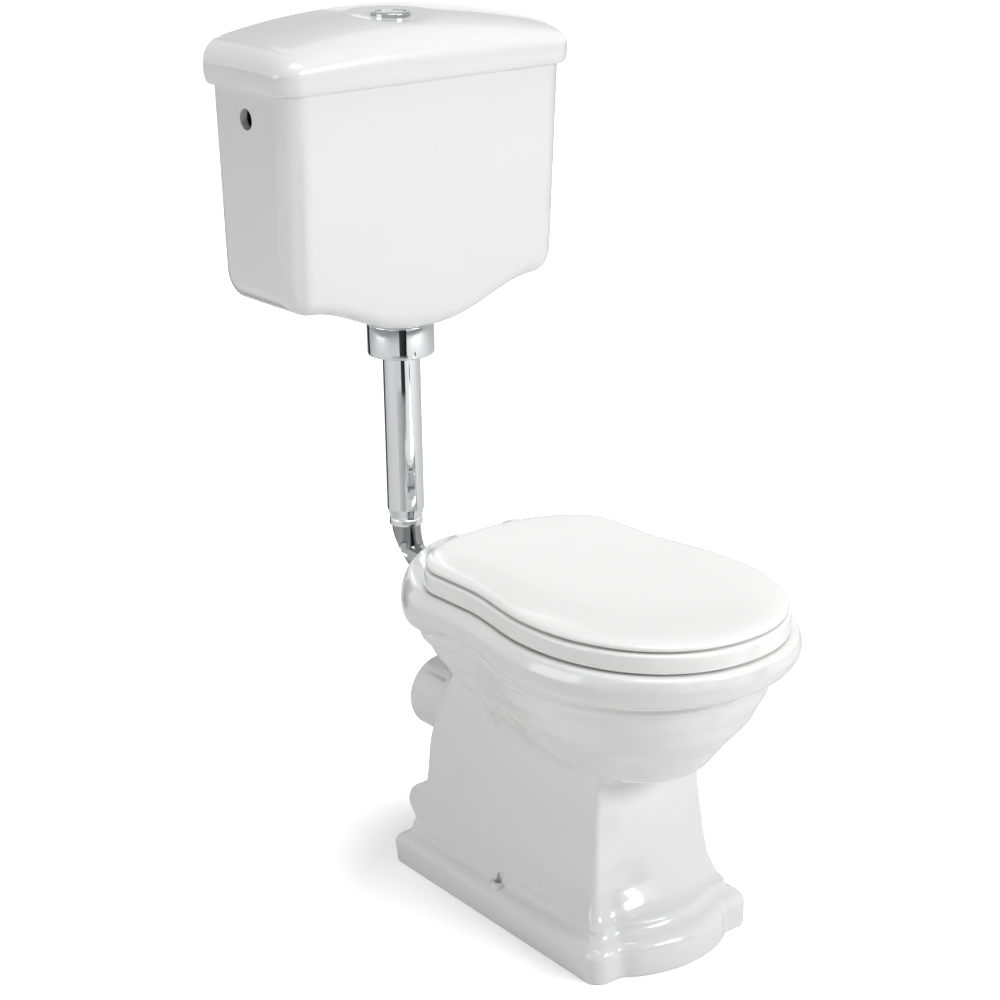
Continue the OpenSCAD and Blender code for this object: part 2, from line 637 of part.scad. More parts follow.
module cover_buffers() {
    color(rubber_tone) for (s = [-1, 1], b = cover_buffer_spots)
        upright(buffer_r, seat_top, cover_z + socket_depth, s * b[0], fwd(b[1]));
}

// Posts stand on the deck, hold the hinge pins and take the seat bolts from below
module hinge_posts() {
    color(chrome) for (s = [-1, 1]) difference() {
        union() {
            upright(14, pan_h, pan_h + post_foot_t, s * post_x, hinge_y);
            translate([s * post_x - post_half, hinge_y - barrel_r, pan_h])
                cube([2 * post_half, 2 * barrel_r, hinge_z - pan_h]);
            along_x(barrel_r, s * post_x - post_half, s * post_x + post_half, hinge_y, hinge_z);
        }
        along_x(pin_r, s * post_x - post_half - over, s * post_x + post_half + over, hinge_y, hinge_z);
        upright(seat_bolt_d / 2, pan_h - over, bolt_top, s * post_x, hinge_y);
    }
}

// Each pin is held in its post and reaches inwards through both lugs
module hinge_pins() {
    inner = cover_lug_x - lug_w / 2 - 2;
    color(chrome) for (s = [-1, 1])
        along_x(pin_r, s > 0 ? inner : -post_x - post_half, s > 0 ? post_x + post_half : -inner,
            hinge_y, hinge_z);
}

module seat_bolts() {
    color(brass_tone) for (s = [-1, 1]) upright(seat_bolt_d / 2, bolt_low, bolt_top, s * post_x, hinge_y);
}
module seat_washers() {
    color(rubber_tone) for (s = [-1, 1]) difference() {
        upright(15, pan_h - deck_t - 4, pan_h - deck_t, s * post_x, hinge_y);
        upright(seat_bolt_d / 2, pan_h - deck_t - 4 - over, pan_h, s * post_x, hinge_y);
    }
}
module seat_wing_nuts() {
    nut_top = pan_h - deck_t - 4;
    color(grey_plastic) for (s = [-1, 1]) difference() {
        union() {
            upright(9, nut_top - 12, nut_top, s * post_x, hinge_y);
            translate([s * post_x - 15, hinge_y - 2, nut_top - 20]) cube([30, 4, 17]);
        }
        upright(seat_bolt_d / 2, nut_top - 30, nut_top + over, s * post_x, hinge_y);
    }
}

// CISTERN: sections across X, so that the belly's sweep and the rounded ends come from one formula
tank_back = pipe_to_wall;
tank_half = tank_w / 2;
belly_power = 1.3;
taper_span = tank_top - 800;
function tank_half_at(z) = tank_half - tank_taper_w / 2 * (tank_top - z) / taper_span;
function tank_front_at(z) = tank_front - tank_taper_d * (tank_top - z) / taper_span;
// Height of the underside: lowest in the middle, level at the shoulders
function belly_at(x) =
    mix(tank_belly_z, tank_side_z, pow(ease(clamp01(abs(x) / tank_belly_half)), belly_power));
// How far a rounded corner of radius r has drawn in, at a distance x from the middle of a half width
function drawn_in(x, half, r) = x < half - r ? 0 : r - sqrt(max(0, r * r - pow(x - half + r, 2)));
// Places of the sections, as shares of the half width: even in the middle, then round the corner
function stations(half, r) = let (inner = half - r, half_list = concat(
        [for (i = [0:9]) inner * i / 10],
        [for (i = [0:5]) inner + r * sin(18 * i)]))
    concat([for (i = [len(half_list) - 1:-1:1]) -half_list[i]], half_list);
// One section of the cistern drawn in by a wall t, with its open top at height top
function tank_section(x, t, top) = let (
        half = tank_half - t,
        r = max(6, tank_corner - t),
        edge = max(6, tank_edge - t),
        end_edge = max(10, tank_end_edge - t),
        ax = abs(x),
        in_front = drawn_in(ax, half, r),
        in_back = drawn_in(ax, half, max(6, tank_back_corner - t)),
        low = belly_at(x) + t + drawn_in(ax, half, end_edge),
        share = x / half)
    concat(
        [for (z = [top, tank_middle_z, low + edge])
            [share * (tank_half_at(z) - t), in_front + t - tank_front_at(z), z]],
        [for (a = [22.5:22.5:90]) let (z = low + edge * (1 - sin(a)))
            [share * (tank_half_at(z) - t), in_front + t - tank_front_at(z) + edge * (1 - cos(a)), z]],
        [for (a = [90:-30:0]) let (z = low + edge * (1 - sin(a)))
            [share * (tank_half_at(z) - t), tank_back - t - in_back - edge * (1 - cos(a)), z]],
        [for (z = [tank_middle_z, top]) [share * (tank_half_at(z) - t), tank_back - t - in_back, z]]);
module tank_skin(t, top) {
    translate([0, pipe_y, 0]) skin([for (x = stations(tank_half - t, max(6, tank_corner - t)))
        tank_section(x, t, top)]);
}

outlet_boss_r = 38;
outlet_floor = tank_belly_z + 22;
outlet_low = tank_belly_z - 3;
shank_r = 24;
shank_clear = 2;
fix_r = wall_hole_d / 2;
side_y = pipe_y + side_hole_back;

module cistern_tank() {
    color(china) difference() {
        union() {
            as_one_mesh() difference() {
                tank_skin(0, tank_top);
                tank_skin(tank_wall, tank_top + over);
            }
            upright(outlet_boss_r, outlet_low, outlet_floor, 0, pipe_y);
        }
        upright(shank_r + shank_clear, outlet_low - over, outlet_floor + over, 0, pipe_y);
        for (s = [-1, 1]) {
            along_x(side_hole_d / 2, s > 0 ? tank_half - 30 : -tank_half - 10,
                s > 0 ? tank_half + 10 : -tank_half + 30, side_y, side_hole_z);
            translate([s * wall_hole_gap / 2, wall_y - tank_wall - over, wall_hole_z]) rotate([-90, 0, 0])
                cylinder(r = fix_r, h = tank_wall + 2 * over, $fn = round_fn);
        }
    }
}

// LID: sections across X; the top rises from a level front edge to an arch at the wall
lid_half = tank_half + lid_over;
lid_front = tank_front + lid_over;
lid_corner = tank_corner - 2;
lid_back_corner = 8;
lid_roll = 2.6;
lid_inner = lid_over + 6;
// Height and inset of the skirt's rounded lower edge
lid_foot = [[0, 4.5], [3, 2.4], [10, 0.8], [18, 0.1]];
lip_depth = 8;
lip_gap = 1.5;
ledge_t = 10;
function lid_top_at(x) = tank_top + lid_rise - lid_arch * pow(x / (lid_half - 15), 2);
// The top falls away round the ends, down to just above the skirt's widest line
function end_fall(x) = let (u = clamp01((abs(x) - lid_half + lid_end) / lid_end))
    (lid_top_at(lid_half) - tank_top - lid_belt - 1) * (1 - sqrt(1 - u * u * 0.999));
function lid_section(x, t) = let (
        ax = abs(x),
        y0 = drawn_in(ax, lid_half - t, lid_corner - t) + t - lid_front,
        y1 = tank_back - t - drawn_in(ax, lid_half - t, max(4, lid_back_corner - t)),
        belt = tank_top + lid_belt - t / 2,
        rise = lid_top_at(x) - end_fall(x) - t - belt,
        run = min(lid_run, y1 - y0 - 12),
        r = min(8, rise * 0.8),
        foot = t > 0 ? [[-over, 0]] : lid_foot)
    concat(
        [for (f = foot) [x * (1 - f[1] / lid_half), y1 - f[1], tank_top + f[0]]],
        [for (a = [0:30:90]) [x, y1 - r * (1 - cos(a)), belt + rise - r + r * sin(a)]],
        [for (a = [90:-11.25:0])
            [x, y0 + run * (1 - pow(cos(a), 2 / lid_roll)), belt + rise * pow(sin(a), 2 / lid_roll)]],
        [for (i = [len(foot) - 1:-1:0]) let (f = foot[i])
            [x * (1 - f[1] / lid_half), y0 + f[1], tank_top + f[0]]]);
module lid_skin(t) {
    inner = lid_half - t;
    r = lid_corner - t;
    xs = concat([for (i = [0:10]) (inner - r) * i / 11], [for (i = [0:6]) inner - r + r * sin(15 * i)]);
    all = concat([for (i = [len(xs) - 1:-1:1]) -xs[i]], xs);
    translate([0, pipe_y, 0]) skin([for (x = all) lid_section(x, t)]);
}
// Rounded plan of the cistern's mouth drawn in by t, for the lip that keeps the lid in place
function mouth_plan(t) =
    let (h = tank_half - t - 3, f = tank_front - t, r = 16, b = tank_back - t, c = 8) concat(
    [for (a = [0:18:90]) [h - r + r * sin(a), pipe_y - f + r - r * cos(a)]],
    [[h, pipe_y + b - c], [h - c, pipe_y + b], [-h + c, pipe_y + b], [-h, pipe_y + b - c]],
    [for (a = [-90:18:0]) [-h + r + r * sin(a), pipe_y - f + r - r * cos(a)]]);

bezel_r = bezel_d / 2;
lid_hole_r = lid_hole_d / 2;
button_at = pipe_y;
crown_z = tank_top + lid_rise;
dish_z = crown_z - 7;
bezel_nut_top = dish_z - lid_wall - 8;
nut_r = bezel_r + 6;

module lid_china() {
    lip_at = tank_wall + lip_gap;
    difference() {
        lid_skin(0);
        lid_skin(lid_inner);
    }
    // A flat pad under the crown, that the bezel's nut is tightened against
    upright(nut_r + 2, bezel_nut_top, dish_z - 1, 0, button_at);
    translate([0, 0, tank_top - lip_depth]) linear_extrude(lip_depth + ledge_t) difference() {
        polygon(mouth_plan(lip_at));
        polygon(mouth_plan(lip_at + 5));
    }
    translate([0, 0, tank_top]) linear_extrude(ledge_t) difference() {
        polygon(mouth_plan(3));
        polygon(mouth_plan(lip_at + 5));
    }
}

module cistern_lid() {
    color(china) difference() {
        as_one_mesh() lid_china();
        upright(lid_hole_r, tank_top + ledge_t, crown_z + over, 0, button_at);
        // The flat ground that the bezel stands on
        upright(bezel_r + 2, dish_z, crown_z + 10, 0, button_at);
    }
}

// BUTTON: a cup-shaped bezel through the lid, clamped by a nut, with the button sliding in it
cup_wall = 2.5;
button_r = button_d / 2;
cup_r = button_r + cup_wall;
bezel_top = dish_z + 6;
button_top = bezel_top - 0.5;
button_t = 8;
cup_floor_z = button_top - button_t - button_travel - 1;
cup_low = dish_z - lid_wall - 20;
rod_r = 4;

module button_bezel() {
    color(chrome) difference() {
        union() {
            translate([0, button_at, 0]) rotate_extrude($fn = round_fn)
                polygon([
                    [0, dish_z], [bezel_r, dish_z], [bezel_r, bezel_top - 2], [bezel_r - 2, bezel_top],
                    [0, bezel_top]
                ]);
            upright(cup_r, cup_low, dish_z, 0, button_at);
        }
        upright(button_r + running, cup_floor_z, bezel_top + over, 0, button_at);
        upright(button_r - 4, cup_low - over, cup_floor_z - 3, 0, button_at);
        upright(rod_r + running, cup_low - over, bezel_top, 0, button_at);
    }
}
module bezel_nut() {
    color(grey_plastic) difference() {
        upright(nut_r, bezel_nut_top - 7, bezel_nut_top, 0, button_at);
        upright(cup_r, bezel_nut_top - 8, bezel_nut_top + over, 0, button_at);
    }
}
module push_button() {
    color(chrome) translate([0, button_at, 0]) rotate_extrude($fn = round_fn)
        polygon([
            [0, button_top - button_t], [button_r, button_top - button_t], [button_r, button_top - 1.5],
            [button_r - 1.5, button_top], [0, button_top + 0.4]
        ]);
}

// FLUSH VALVE: the button's rod carries a presser that turns a rocker, and the rocker lifts the
// overflow tube with its seal off the seat. The rocker swings as far below level as above it.
valve_floor = outlet_floor + 3;
flange_t = 4;
valve_seat_z = valve_floor + flange_t;
seal_t = 4;
tube_r = 11;
cage_r = 32;
cage_top = valve_seat_z + 62;
bridge_t = 8;
tube_top = cage_top + 92;
pivot_x = -44;
out_arm = 14;
in_arm = 32;
rocker_swing = 2 * asin(button_travel / 2 / out_arm);
lift = 2 * in_arm * sin(rocker_swing / 2);
pivot_z = cage_top + bridge_t + 40;
rocker_t = 5;
tip_r = 3;
collar_z1 = pivot_z - in_arm * sin(rocker_swing / 2) + tip_r + near;
press_z = pivot_z + out_arm * sin(rocker_swing / 2) + tip_r + near;
press_arm_z = tube_top + lift + button_travel + 2;
press_arm_h = 8;
press_out = out_arm + 5;
press_in = out_arm - 2;
pivot_pin_r = 2;
echo(button_travel = button_travel, rocker_swing_deg = rocker_swing, lift_mm = lift);
echo(rocker_ratio = rocker_swing * PI / 180 / (button_travel / 1000), tube_ratio = lift / button_travel);

module push_rod() {
    color(grey_plastic) union() {
        upright(rod_r, press_arm_z, button_top - button_t, 0, button_at);
        // An arm that passes over the tube, and a leg beside it that ends just above the rocker's tip
        translate([pivot_x - press_out, button_at - 5, press_arm_z])
            cube([press_out - pivot_x + rod_r, 10, press_arm_h]);
        translate([pivot_x - press_out, button_at - 5, press_z])
            cube([press_out - press_in, 10, press_arm_z + press_arm_h - press_z]);
    }
}

module flush_valve_body() {
    color(blue_plastic) difference() {
        union() {
            upright(36, valve_floor, valve_seat_z, 0, pipe_y);
            upright(shank_r, collar_z + 20, valve_floor + over, 0, pipe_y);
            upright(cage_r, valve_floor, cage_top, 0, pipe_y);
        }
        upright(shank_r - 4.5, collar_z + 19, valve_seat_z + over, 0, pipe_y);
        upright(cage_r - 3, valve_seat_z, cage_top + over, 0, pipe_y);
        // Windows that let the water in, crosswise
        for (a = [45, 135]) translate([0, pipe_y, valve_seat_z + 6]) rotate([0, 0, a])
            translate([-cage_r - over, -15, 0]) cube([2 * cage_r + 2 * over, 30, 38]);
    }
}

module valve_bridge() {
    post_top = pivot_z + 6;
    color(grey_plastic) difference() {
        union() {
            upright(cage_r, cage_top, cage_top + bridge_t, 0, pipe_y);
            translate([pivot_x - 7, pipe_y - 12, cage_top]) cube([-pivot_x, 24, bridge_t]);
            for (s = [-1, 1]) translate([pivot_x - 6, pipe_y + s * 10 - 2, cage_top])
                cube([12, 4, post_top - cage_top]);
        }
        upright(tube_r + running, cage_top - over, cage_top + bridge_t + over, 0, pipe_y);
        translate([0, pipe_y, 0]) for (a = [40:80:320]) rotate([0, 0, a])
            upright(5, cage_top - over, cage_top + bridge_t + over, 21);
        translate([pivot_x, pipe_y - 13, pivot_z]) rotate([-90, 0, 0])
            cylinder(r = pivot_pin_r, h = 26, $fn = round_fn);
    }
}

module rocker_pin() {
    color(brass_tone) translate([pivot_x, pipe_y - 14, pivot_z]) rotate([-90, 0, 0])
        cylinder(r = pivot_pin_r, h = 28, $fn = round_fn);
}

// The rocker is drawn level and then tilted to its rest, its inner tip down
module flush_rocker() {
    color(blue_plastic) translate([pivot_x, pipe_y, pivot_z]) rotate([0, rocker_swing / 2, 0]) difference() {
        union() {
            translate([-out_arm, -3.5, -rocker_t / 2]) cube([out_arm + in_arm - tube_r - 6, 7, rocker_t]);
            rotate([90, 0, 0]) translate([0, 0, -7.5]) cylinder(r = 5, h = 15, $fn = round_fn);
            translate([-out_arm, 6, 0]) rotate([90, 0, 0]) cylinder(r = tip_r, h = 12, $fn = round_fn);
            // A fork whose tips pass on either side of the overflow tube
            translate([in_arm - tube_r - 10, -tube_r - 6, -rocker_t / 2]) cube([6, 2 * tube_r + 12, rocker_t]);
            for (s = [-1, 1]) {
                translate([in_arm - tube_r - 10, s * (tube_r + 3.5) - 2.5, -rocker_t / 2])
                    cube([tube_r + 10, 5, rocker_t]);
                translate([in_arm, s * (tube_r + 3.5) + 2.5, 0]) rotate([90, 0, 0])
                    cylinder(r = tip_r, h = 5, $fn = round_fn);
            }
        }
        translate([0, 8, 0]) rotate([90, 0, 0]) cylinder(r = pivot_pin_r + running, h = 16, $fn = round_fn);
    }
}

module overflow_tube() {
    color(blue_plastic) difference() {
        union() {
            upright(tube_r, valve_seat_z + near + seal_t, tube_top, 0, pipe_y);
            upright(24, valve_seat_z + near + seal_t, valve_seat_z + near + seal_t + 3, 0, pipe_y);
            upright(tube_r + 8, collar_z1, collar_z1 + 4, 0, pipe_y);
        }
        upright(tube_r - 2, valve_seat_z, tube_top + over, 0, pipe_y);
    }
}
module valve_seal() {
    color(rubber_tone) difference() {
        upright(26, valve_seat_z + near, valve_seat_z + near + seal_t, 0, pipe_y);
        upright(tube_r - 2, valve_seat_z, valve_seat_z + 10, 0, pipe_y);
    }
}
module outlet_washer() {
    color(rubber_tone) difference() {
        upright(37, outlet_floor, valve_floor, 0, pipe_y);
        upright(shank_r, outlet_floor - over, valve_floor + over, 0, pipe_y);
    }
}
module outlet_backnut() {
    color(grey_plastic) difference() {
        translate([0, pipe_y, outlet_low - 10]) cylinder(r = 35, h = 10, $fn = 6);
        upright(shank_r, outlet_low - 11, outlet_low + over, 0, pipe_y);
    }
}

// FLUSH PIPE
collar_r = collar_d / 2;
collar_top = outlet_low - near;
pipe_r = pipe_od / 2;
bend_tube_r = bend_od / 2;
pipe_top = collar_z + 19;
bead_h = 10;
taper_h = 13;
cone_reach = inlet_face + 28;
cone_flange = 5;

module pipe_collar() {
    color(chrome) translate([0, pipe_y, 0]) rotate_extrude($fn = round_fn) polygon([
        [pipe_r + running, collar_z], [collar_r - 3, collar_z], [collar_r - 0.9, collar_z + 0.9],
        [collar_r, collar_z + 3], [collar_r, collar_top - 1], [collar_r - 1, collar_top],
        [collar_r - 6, collar_top], [collar_r - 6, collar_z + 5], [pipe_r + running, collar_z + 5]
    ]);
}
module pipe_seal() {
    color(rubber_tone) difference() {
        upright(collar_r - 7, collar_z + 5, collar_z + 24, 0, pipe_y);
        upright(pipe_r, collar_z + 4, pipe_top, 0, pipe_y);
        upright(shank_r, pipe_top - over, collar_z + 25, 0, pipe_y);
    }
}
module pipe_upper() {
    low = pipe_low_z;
    color(chrome) translate([0, pipe_y, 0]) rotate_extrude($fn = round_fn) polygon([
        [pipe_r - pipe_wall, pipe_top], [pipe_r, pipe_top], [pipe_r, low + bead_h + taper_h],
        [bend_tube_r + 2, low + bead_h + 1.5], [bend_tube_r + 2, low + bead_h],
        [bend_tube_r + 3, low + bead_h - 2], [bend_tube_r + 3, low + 2], [bend_tube_r + 2, low],
        [bend_tube_r + running, low], [bend_tube_r + running, low + bead_h + 3],
        [pipe_r - pipe_wall, low + bead_h + taper_h + 1]
    ]);
}
// Tube along the bend: down from the upper tube, round a quarter turn and forward into the pan
module bend_shape(r, extra) {
    upright(r, pipe_low_z, pipe_low_z + bead_h + extra, 0, pipe_y);
    translate([0, pipe_y - bend_r, pipe_low_z]) rotate([0, 90, 0])
        rotate_extrude(angle = 90, $fn = round_fn) translate([bend_r, 0]) circle(r = r, $fn = round_fn);
    along_y(r, chamber_back - 4 + extra, bend_r, inlet_z);
}
module pipe_bend() {
    color(chrome) difference() {
        bend_shape(bend_tube_r, 0);
        bend_shape(bend_tube_r - pipe_wall, over);
    }
}
module flush_cone() {
    color(rubber_tone) difference() {
        union() {
            along_y(inlet_r, cone_reach, inlet_face, inlet_z);
            along_y(inlet_r + 5, inlet_face, inlet_face - cone_flange, inlet_z);
        }
        along_y(bend_tube_r, cone_reach + over, inlet_face - cone_flange - over, inlet_z);
    }
}

// FILL VALVE: a side-entry valve on the +X side, shut by a small float on a short arm
thread_r = 12;
washer_t = 3;
fill_y = side_y;
tail_r = 10.4;
neck_r = tail_r - 1;
neck_w = 3;
outer_wall_x = tank_half_at(side_hole_z) + 0.8;
inner_wall_x = tank_half_at(side_hole_z) - tank_wall - 0.7;
backnut_t = 5;
neck_x = outer_wall_x + washer_t + backnut_t;
tail_x = neck_x + neck_w;
tail_len = 10;
block_x = 152;
pivot_fx = block_x - 6;
pivot_fz = side_hole_z - 6;
arm_reach = 64;
float_r = 17;
float_h = 46;
float_drop = 26;

module fill_valve() {
    color(brass_tone) difference() {
        union() {
            along_x(13, block_x, inner_wall_x - washer_t - 4 + over, fill_y, side_hole_z);
            along_x(19, inner_wall_x - washer_t - 4, inner_wall_x - washer_t, fill_y, side_hole_z);
            along_x(thread_r, inner_wall_x - washer_t - over, neck_x, fill_y, side_hole_z);
            along_x(neck_r, neck_x - over, tail_x + over, fill_y, side_hole_z);
            along_x(tail_r, tail_x, tail_x + tail_len, fill_y, side_hole_z);
            for (s = [-1, 1]) translate([block_x - 11, fill_y + s * 8 - 2, side_hole_z - 12]) cube([16, 4, 16]);
        }
        along_x(6, block_x + 12, tail_x + tail_len + over, fill_y, side_hole_z);
        translate([pivot_fx, fill_y - 11, pivot_fz]) rotate([-90, 0, 0])
            cylinder(r = pivot_pin_r, h = 22, $fn = round_fn);
        upright(7, side_hole_z - 20, side_hole_z - 4, block_x + 24, fill_y);
    }
}
module fill_outlet_tube() {
    color(grey_plastic) difference() {
        upright(7, tank_side_z + tank_wall + 8, side_hole_z - 4, block_x + 24, fill_y);
        upright(5.5, tank_side_z + tank_wall + 7, side_hole_z - 5, block_x + 24, fill_y);
    }
}
module inlet_washers() {
    color(rubber_tone) difference() {
        union() {
            along_x(18, inner_wall_x - washer_t, inner_wall_x, fill_y, side_hole_z);
            along_x(18, outer_wall_x, outer_wall_x + washer_t, fill_y, side_hole_z);
        }
        along_x(thread_r, inner_wall_x - 10, outer_wall_x + 10, fill_y, side_hole_z);
    }
}
module inlet_backnut() {
    color(grey_plastic) difference() {
        translate([outer_wall_x + washer_t, fill_y, side_hole_z]) rotate([0, 90, 0])
            cylinder(r = 17, h = backnut_t, $fn = 6);
        along_x(thread_r, outer_wall_x, outer_wall_x + 20, fill_y, side_hole_z);
    }
}
module float_arm() {
    color(grey_plastic) difference() {
        union() {
            translate([pivot_fx - arm_reach, fill_y - 3, pivot_fz - 3]) cube([arm_reach, 6, 6]);
            translate([pivot_fx, fill_y + 5.5, pivot_fz]) rotate([90, 0, 0])
                cylinder(r = 5, h = 11, $fn = round_fn);
            upright(3, pivot_fz - float_drop, pivot_fz, pivot_fx - arm_reach, fill_y);
        }
        translate([pivot_fx, fill_y + 7, pivot_fz]) rotate([90, 0, 0])
            cylinder(r = pivot_pin_r + running, h = 14, $fn = round_fn);
    }
}
module float_pin() {
    color(brass_tone) translate([pivot_fx, fill_y - 12, pivot_fz]) rotate([-90, 0, 0])
        cylinder(r = pivot_pin_r, h = 24, $fn = round_fn);
}
module float_cup() {
    color(grey_plastic) upright(float_r, pivot_fz - float_drop - float_h, pivot_fz - float_drop,
        pivot_fx - arm_reach, fill_y);
}

pan();
seat_ring();
seat_buffers();
seat_cover();
cover_buffers();
hinge_posts();
hinge_pins();
seat_bolts();
seat_washers();
seat_wing_nuts();
cistern_tank();
cistern_lid();
button_bezel();
bezel_nut();
push_button();
push_rod();
flush_valve_body();
valve_bridge();
overflow_tube();
valve_seal();
flush_rocker();
rocker_pin();
outlet_washer();
outlet_backnut();
pipe_collar();
pipe_seal();
pipe_upper();
pipe_bend();
flush_cone();
fill_valve();
fill_outlet_tube();
inlet_washers();
inlet_backnut();
float_arm();
float_pin();
float_cup();
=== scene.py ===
# %% [markdown]
# A low level toilet: a glazed pan on the floor, a seat and cover on a rear hinge, and a cistern
# on the wall that flushes through a short chrome pipe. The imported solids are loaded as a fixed
# frame. The smooth glazed, moulded and plated surfaces are then built as finer meshes over them,
# because a solid kept light for physics shows its facets under soft light.

# %% Load the frame
import json
from types import SimpleNamespace as Sizes
import bpy
import numpy as np
from mathutils import Matrix, Vector

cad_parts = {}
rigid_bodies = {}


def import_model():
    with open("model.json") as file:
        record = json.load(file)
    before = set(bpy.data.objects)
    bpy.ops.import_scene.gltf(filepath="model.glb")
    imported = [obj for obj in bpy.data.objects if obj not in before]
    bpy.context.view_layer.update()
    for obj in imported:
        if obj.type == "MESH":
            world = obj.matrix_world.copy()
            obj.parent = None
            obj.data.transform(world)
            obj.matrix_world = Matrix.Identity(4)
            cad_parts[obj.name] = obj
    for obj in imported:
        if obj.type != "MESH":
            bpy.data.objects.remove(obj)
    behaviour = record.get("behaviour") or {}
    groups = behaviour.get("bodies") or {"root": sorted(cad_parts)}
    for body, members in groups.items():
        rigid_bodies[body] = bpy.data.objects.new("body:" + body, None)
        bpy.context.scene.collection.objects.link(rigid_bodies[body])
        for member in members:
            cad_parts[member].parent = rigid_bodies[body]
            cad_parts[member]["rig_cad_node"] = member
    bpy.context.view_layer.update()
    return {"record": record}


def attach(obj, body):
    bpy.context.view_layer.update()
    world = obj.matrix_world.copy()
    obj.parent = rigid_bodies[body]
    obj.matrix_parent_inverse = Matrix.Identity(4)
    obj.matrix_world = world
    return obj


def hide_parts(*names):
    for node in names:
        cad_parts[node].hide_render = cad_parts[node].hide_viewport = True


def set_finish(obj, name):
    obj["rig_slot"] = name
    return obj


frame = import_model()
MM = 0.001

# %% [markdown]
# The camera comes first, since it decides what has to look right. The lens and place were worked
# out from the straight edges of the cistern and the foot. A long lens from a few metres away
# gives the mild perspective of a catalogue photograph. The photograph leans by a degree, and the
# camera's roll keeps that.

# %% Camera at the photograph's viewing angle
LENS_PX, FRAME_PX, SENSOR = 2344.74, 1000, 36.0
YAW, PITCH, ROLL = np.radians([-37.84, 18.80, -0.98])
CAMERA_AT = Vector((-1.7352, -2.14607, 1.47062))


def camera_axes():
    """Right, up and back directions of the camera as unit vectors."""
    back = Vector((np.sin(YAW) * np.cos(PITCH), -np.cos(YAW) * np.cos(PITCH), np.sin(PITCH)))
    right = Vector((np.cos(YAW), np.sin(YAW), 0))
    up = back.cross(right)
    c, s = np.cos(ROLL), np.sin(ROLL)
    return right * c + up * s, up * c - right * s, back


lens = bpy.data.cameras.new("photo_camera")
lens.sensor_width = SENSOR
lens.lens = LENS_PX / FRAME_PX * SENSOR
lens.clip_end = 50
camera = bpy.data.objects.new("photo_camera", lens)
bpy.context.scene.collection.objects.link(camera)
camera.matrix_world = Matrix.Translation(CAMERA_AT) @ Matrix(camera_axes()).transposed().to_4x4()
bpy.context.scene.camera = camera
print("lens", round(lens.lens, 1), "mm")

# %% [markdown]
# Every smooth surface here is a loft: a stack of closed outlines with the same number of points,
# joined by four-sided faces. A loft could come from curves and a skin modifier too, but plain
# arrays keep each outline a formula, so a height or a width can be read and changed in one place.

# %% Loft and mesh helpers
def quarter_turn(n):
    return np.linspace(0, np.pi / 2, n)


def full_turn(n):
    return np.linspace(0, 2 * np.pi, n, endpoint=False)


def new_object(name, points, faces):
    """Mesh object from points in millimetres, linked to the scene."""
    mesh = bpy.data.meshes.new(name)
    mesh.from_pydata((np.asarray(points, float) * MM).tolist(), [], faces)
    mesh.update()
    obj = bpy.data.objects.new(name, mesh)
    bpy.context.scene.collection.objects.link(obj)
    return obj


def loft(name, rings, loop=False):
    """Closed skin over an array (rings, points, 3); a loop comes back to its start."""
    rings = np.asarray(rings, float)
    m, n = rings.shape[:2]
    i, j = np.meshgrid(np.arange(m if loop else m - 1), np.arange(n), indexing="ij")
    k, u = (j + 1) % n, (i + 1) % m
    faces = np.stack([i * n + j, i * n + k, u * n + k, u * n + j], -1).reshape(-1, 4).tolist()
    if not loop:
        faces += [list(range(n))[::-1], list(range((m - 1) * n, m * n))]
    obj = new_object(name, rings.reshape(-1, 3), faces)
    if signed_volume(obj.data) < 0:
        obj.data.flip_normals()
    return obj


def signed_volume(mesh):
    """Volume that the faces enclose; it is negative when they face inwards."""
    mesh.calc_loop_triangles()
    co = np.zeros(len(mesh.vertices) * 3)
    mesh.vertices.foreach_get("co", co)
    tri = np.zeros(len(mesh.loop_triangles) * 3, int)
    mesh.loop_triangles.foreach_get("vertices", tri)
    a, b, c = co.reshape(-1, 3)[tri.reshape(-1, 3)].transpose(1, 0, 2)
    return float(np.einsum("ij,ij->i", a, np.cross(b, c)).sum() / 6)


def smooth(obj, angle=38):
    """Smooth shading, with edges sharper than the angle kept crisp."""
    obj.data.polygons.foreach_set("use_smooth", [True] * len(obj.data.polygons))
    obj.data.set_sharp_from_angle(angle=np.radians(angle))


print("helpers ready")

# %% [markdown]
# Pieces of china are cast in one, so the bowl, foot, trap and spigot are joined into one skin and
# the bores are cut out of it. A boolean modifier does both. Its manifold solver is quick on dense
# meshes, as long as every part is a closed skin.

# %% Joining and cutting
def combine(obj, tools, operation):
    """Joins tools to obj, or cuts them out of it, and removes the tools."""
    for tool in tools:
        step = obj.modifiers.new("step", "BOOLEAN")
        step.operation, step.object, step.solver = operation, tool, "MANIFOLD"
    graph = bpy.context.evaluated_depsgraph_get()
    shaped = bpy.data.meshes.new_from_object(obj.evaluated_get(graph))
    obj.modifiers.clear()
    old, obj.data = obj.data, shaped
    bpy.data.meshes.remove(old)
    for tool in tools:
        mesh = tool.data
        bpy.data.objects.remove(tool)
        bpy.data.meshes.remove(mesh)
    return obj


def turned(name, profile, at=(0, 0, 0), axis="Z", steps=96):
    """Solid of revolution; the profile is a closed line of (radius, height) in millimetres."""
    profile = np.asarray(profile, float)
    turn = full_turn(steps)
    r, h = profile[:, 0][:, None], profile[:, 1][:, None] + 0 * turn[None]
    a, b = r * np.cos(turn), r * np.sin(turn)
    xyz = {"Z": (a, b, h), "Y": (a, h, b), "X": (h, a, b)}[axis]
    rings = np.stack(xyz, -1) + np.asarray(at, float)
    return loft(name, rings, loop=profile[0][0] > 0 or profile[-1][0] > 0)


def rod(name, radius, low, high, at, axis="Z", steps=64):
    """Plain round bar used as a cutter or a core."""
    return turned(name, [(1e-3, low), (radius, low), (radius, high), (1e-3, high)], at, axis, steps)


